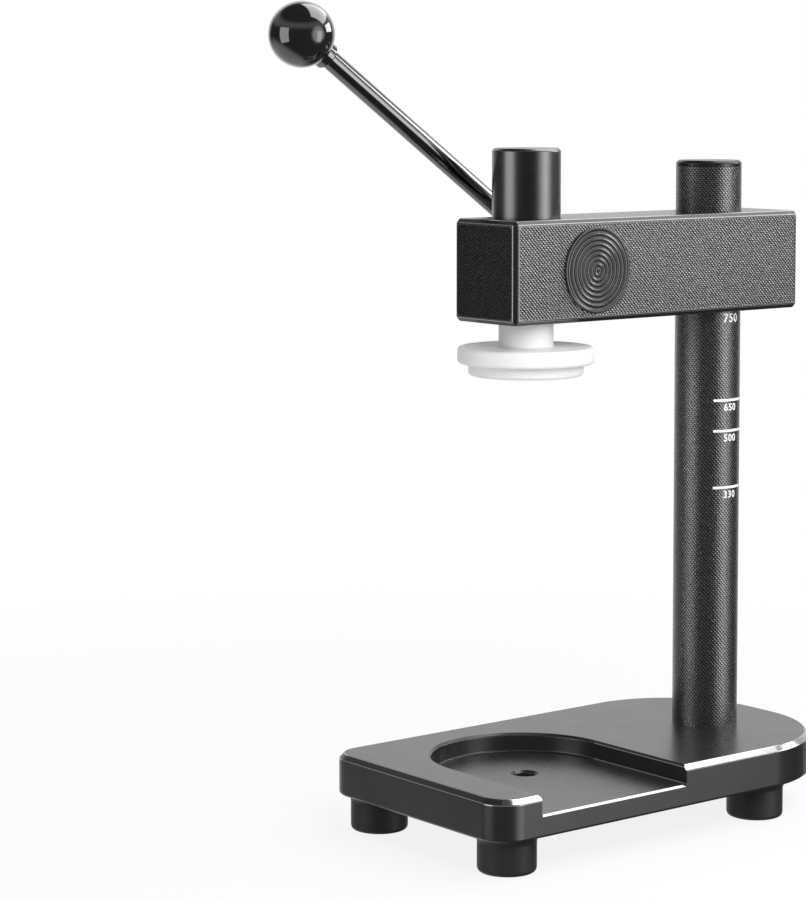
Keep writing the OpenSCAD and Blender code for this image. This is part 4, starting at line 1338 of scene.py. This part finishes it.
print("floor at", FLOOR_Z, "mm")

# %% [markdown]
# ## The surround
# Dark metal shows what it mirrors, so the surround is a set of soft glowing areas in a dim
# room: one at the far right, one at the near right, one below at the back, and a ring overhead
# that the tops of flat plates mirror. Each area is a cone round a direction, which stays put
# when the view turns. The camera itself sees plain white instead.

# %% Surround
SURROUND_LEVEL = 0.05
GLOWS = (
    ((0.62, 0.78, 0.10), 28, 52, 0.80),
    ((0.41, -0.91, -0.02), 12, 30, 1.25),
    ((-0.20, 0.60, -0.78), 25, 50, 0.55),
    ((0, 0, 1), 63, 78, 0.30),
    ((0, 0, 1), 45, 60, -0.30),
)
world = bpy.data.worlds.new("studio")
bpy.context.scene.world = world
world.use_nodes = True
tree = world.node_tree
backdrop = tree.nodes["Background"]
backdrop.inputs["Color"].default_value = (1, 1, 1, 1)
backdrop.inputs["Strength"].default_value = 1.0
dim = tree.nodes.new("ShaderNodeBackground")
dim.inputs["Color"].default_value = (1, 1, 1, 1)
coords = tree.nodes.new("ShaderNodeTexCoord")


def glow(towards, inner, outer, level):
    """A soft round area of the surround: full within the inner angle, gone at the outer one."""
    facing = tree.nodes.new("ShaderNodeVectorMath")
    facing.operation = "DOT_PRODUCT"
    facing.inputs[1].default_value = Vector(towards).normalized()
    tree.links.new(coords.outputs["Generated"], facing.inputs[0])
    edge = tree.nodes.new("ShaderNodeMapRange")
    edge.interpolation_type = "SMOOTHSTEP"
    edge.inputs["From Min"].default_value = math.cos(math.radians(outer))
    edge.inputs["From Max"].default_value = math.cos(math.radians(inner))
    edge.inputs["To Max"].default_value = level
    tree.links.new(facing.outputs["Value"], edge.inputs["Value"])
    return edge.outputs["Result"]


total = None
for area in GLOWS:
    part = glow(*area)
    add = tree.nodes.new("ShaderNodeMath")
    add.inputs[1].default_value = SURROUND_LEVEL
    tree.links.new(part, add.inputs[0])
    if total:
        tree.links.new(total, add.inputs[1])
    total = add.outputs["Value"]
tree.links.new(total, dim.inputs["Strength"])
path = tree.nodes.new("ShaderNodeLightPath")
blend = tree.nodes.new("ShaderNodeMixShader")
tree.links.new(path.outputs["Is Camera Ray"], blend.inputs["Fac"])
tree.links.new(dim.outputs["Background"], blend.inputs[1])
tree.links.new(backdrop.outputs["Background"], blend.inputs[2])
tree.links.new(blend.outputs["Shader"], tree.nodes["World Output"].inputs["Surface"])
print("glowing areas", len(GLOWS))

# %% [markdown]
# ## The light panels
# Two tall panels at the sides draw the upright highlights on the round bars. A broad one above
# lights the base and whitens the chamfers, and a small one at the back gives the lever rod its
# line of light. A near fill lifts the white nylon and the grain, and is kept out of reflections
# because its edges would show in the black ball.

# %% Light panels
def light_panel(name, direction, distance, wide, tall, power, target=(0.03, 0, 0.18)):
    """A soft panel that faces the press from a direction in its own frame."""
    lamp = bpy.data.lights.new(name, "AREA")
    lamp.shape = "RECTANGLE"
    lamp.size = wide
    lamp.size_y = tall
    lamp.energy = power
    holder = bpy.data.objects.new(name, lamp)
    bpy.context.scene.collection.objects.link(holder)
    away = Vector(direction).normalized()
    holder.location = Vector(target) + away * distance
    holder.rotation_euler = away.to_track_quat("Z", "Y").to_euler()
    holder.visible_camera = False
    return holder


light_panel("panel_right", (0.41, -0.91, -0.02), 1.5, 0.50, 0.9, 1.6)
light_panel("panel_left", (-0.985, 0.16, 0.06), 1.5, 0.85, 1.1, 4.6)
light_panel("panel_top", (0.52, -0.07, 0.85), 1.5, 1.7, 1.2, 16)
light_panel("panel_rod", (0.90, -0.28, 0.36), 1.5, 0.80, 0.45, 5.5)
fill = light_panel("panel_near", (-0.30, -0.80, 0.52), 0.60, 0.40, 0.40, 2.7)
fill.visible_glossy = False
bpy.context.scene.view_settings.view_transform = "Standard"
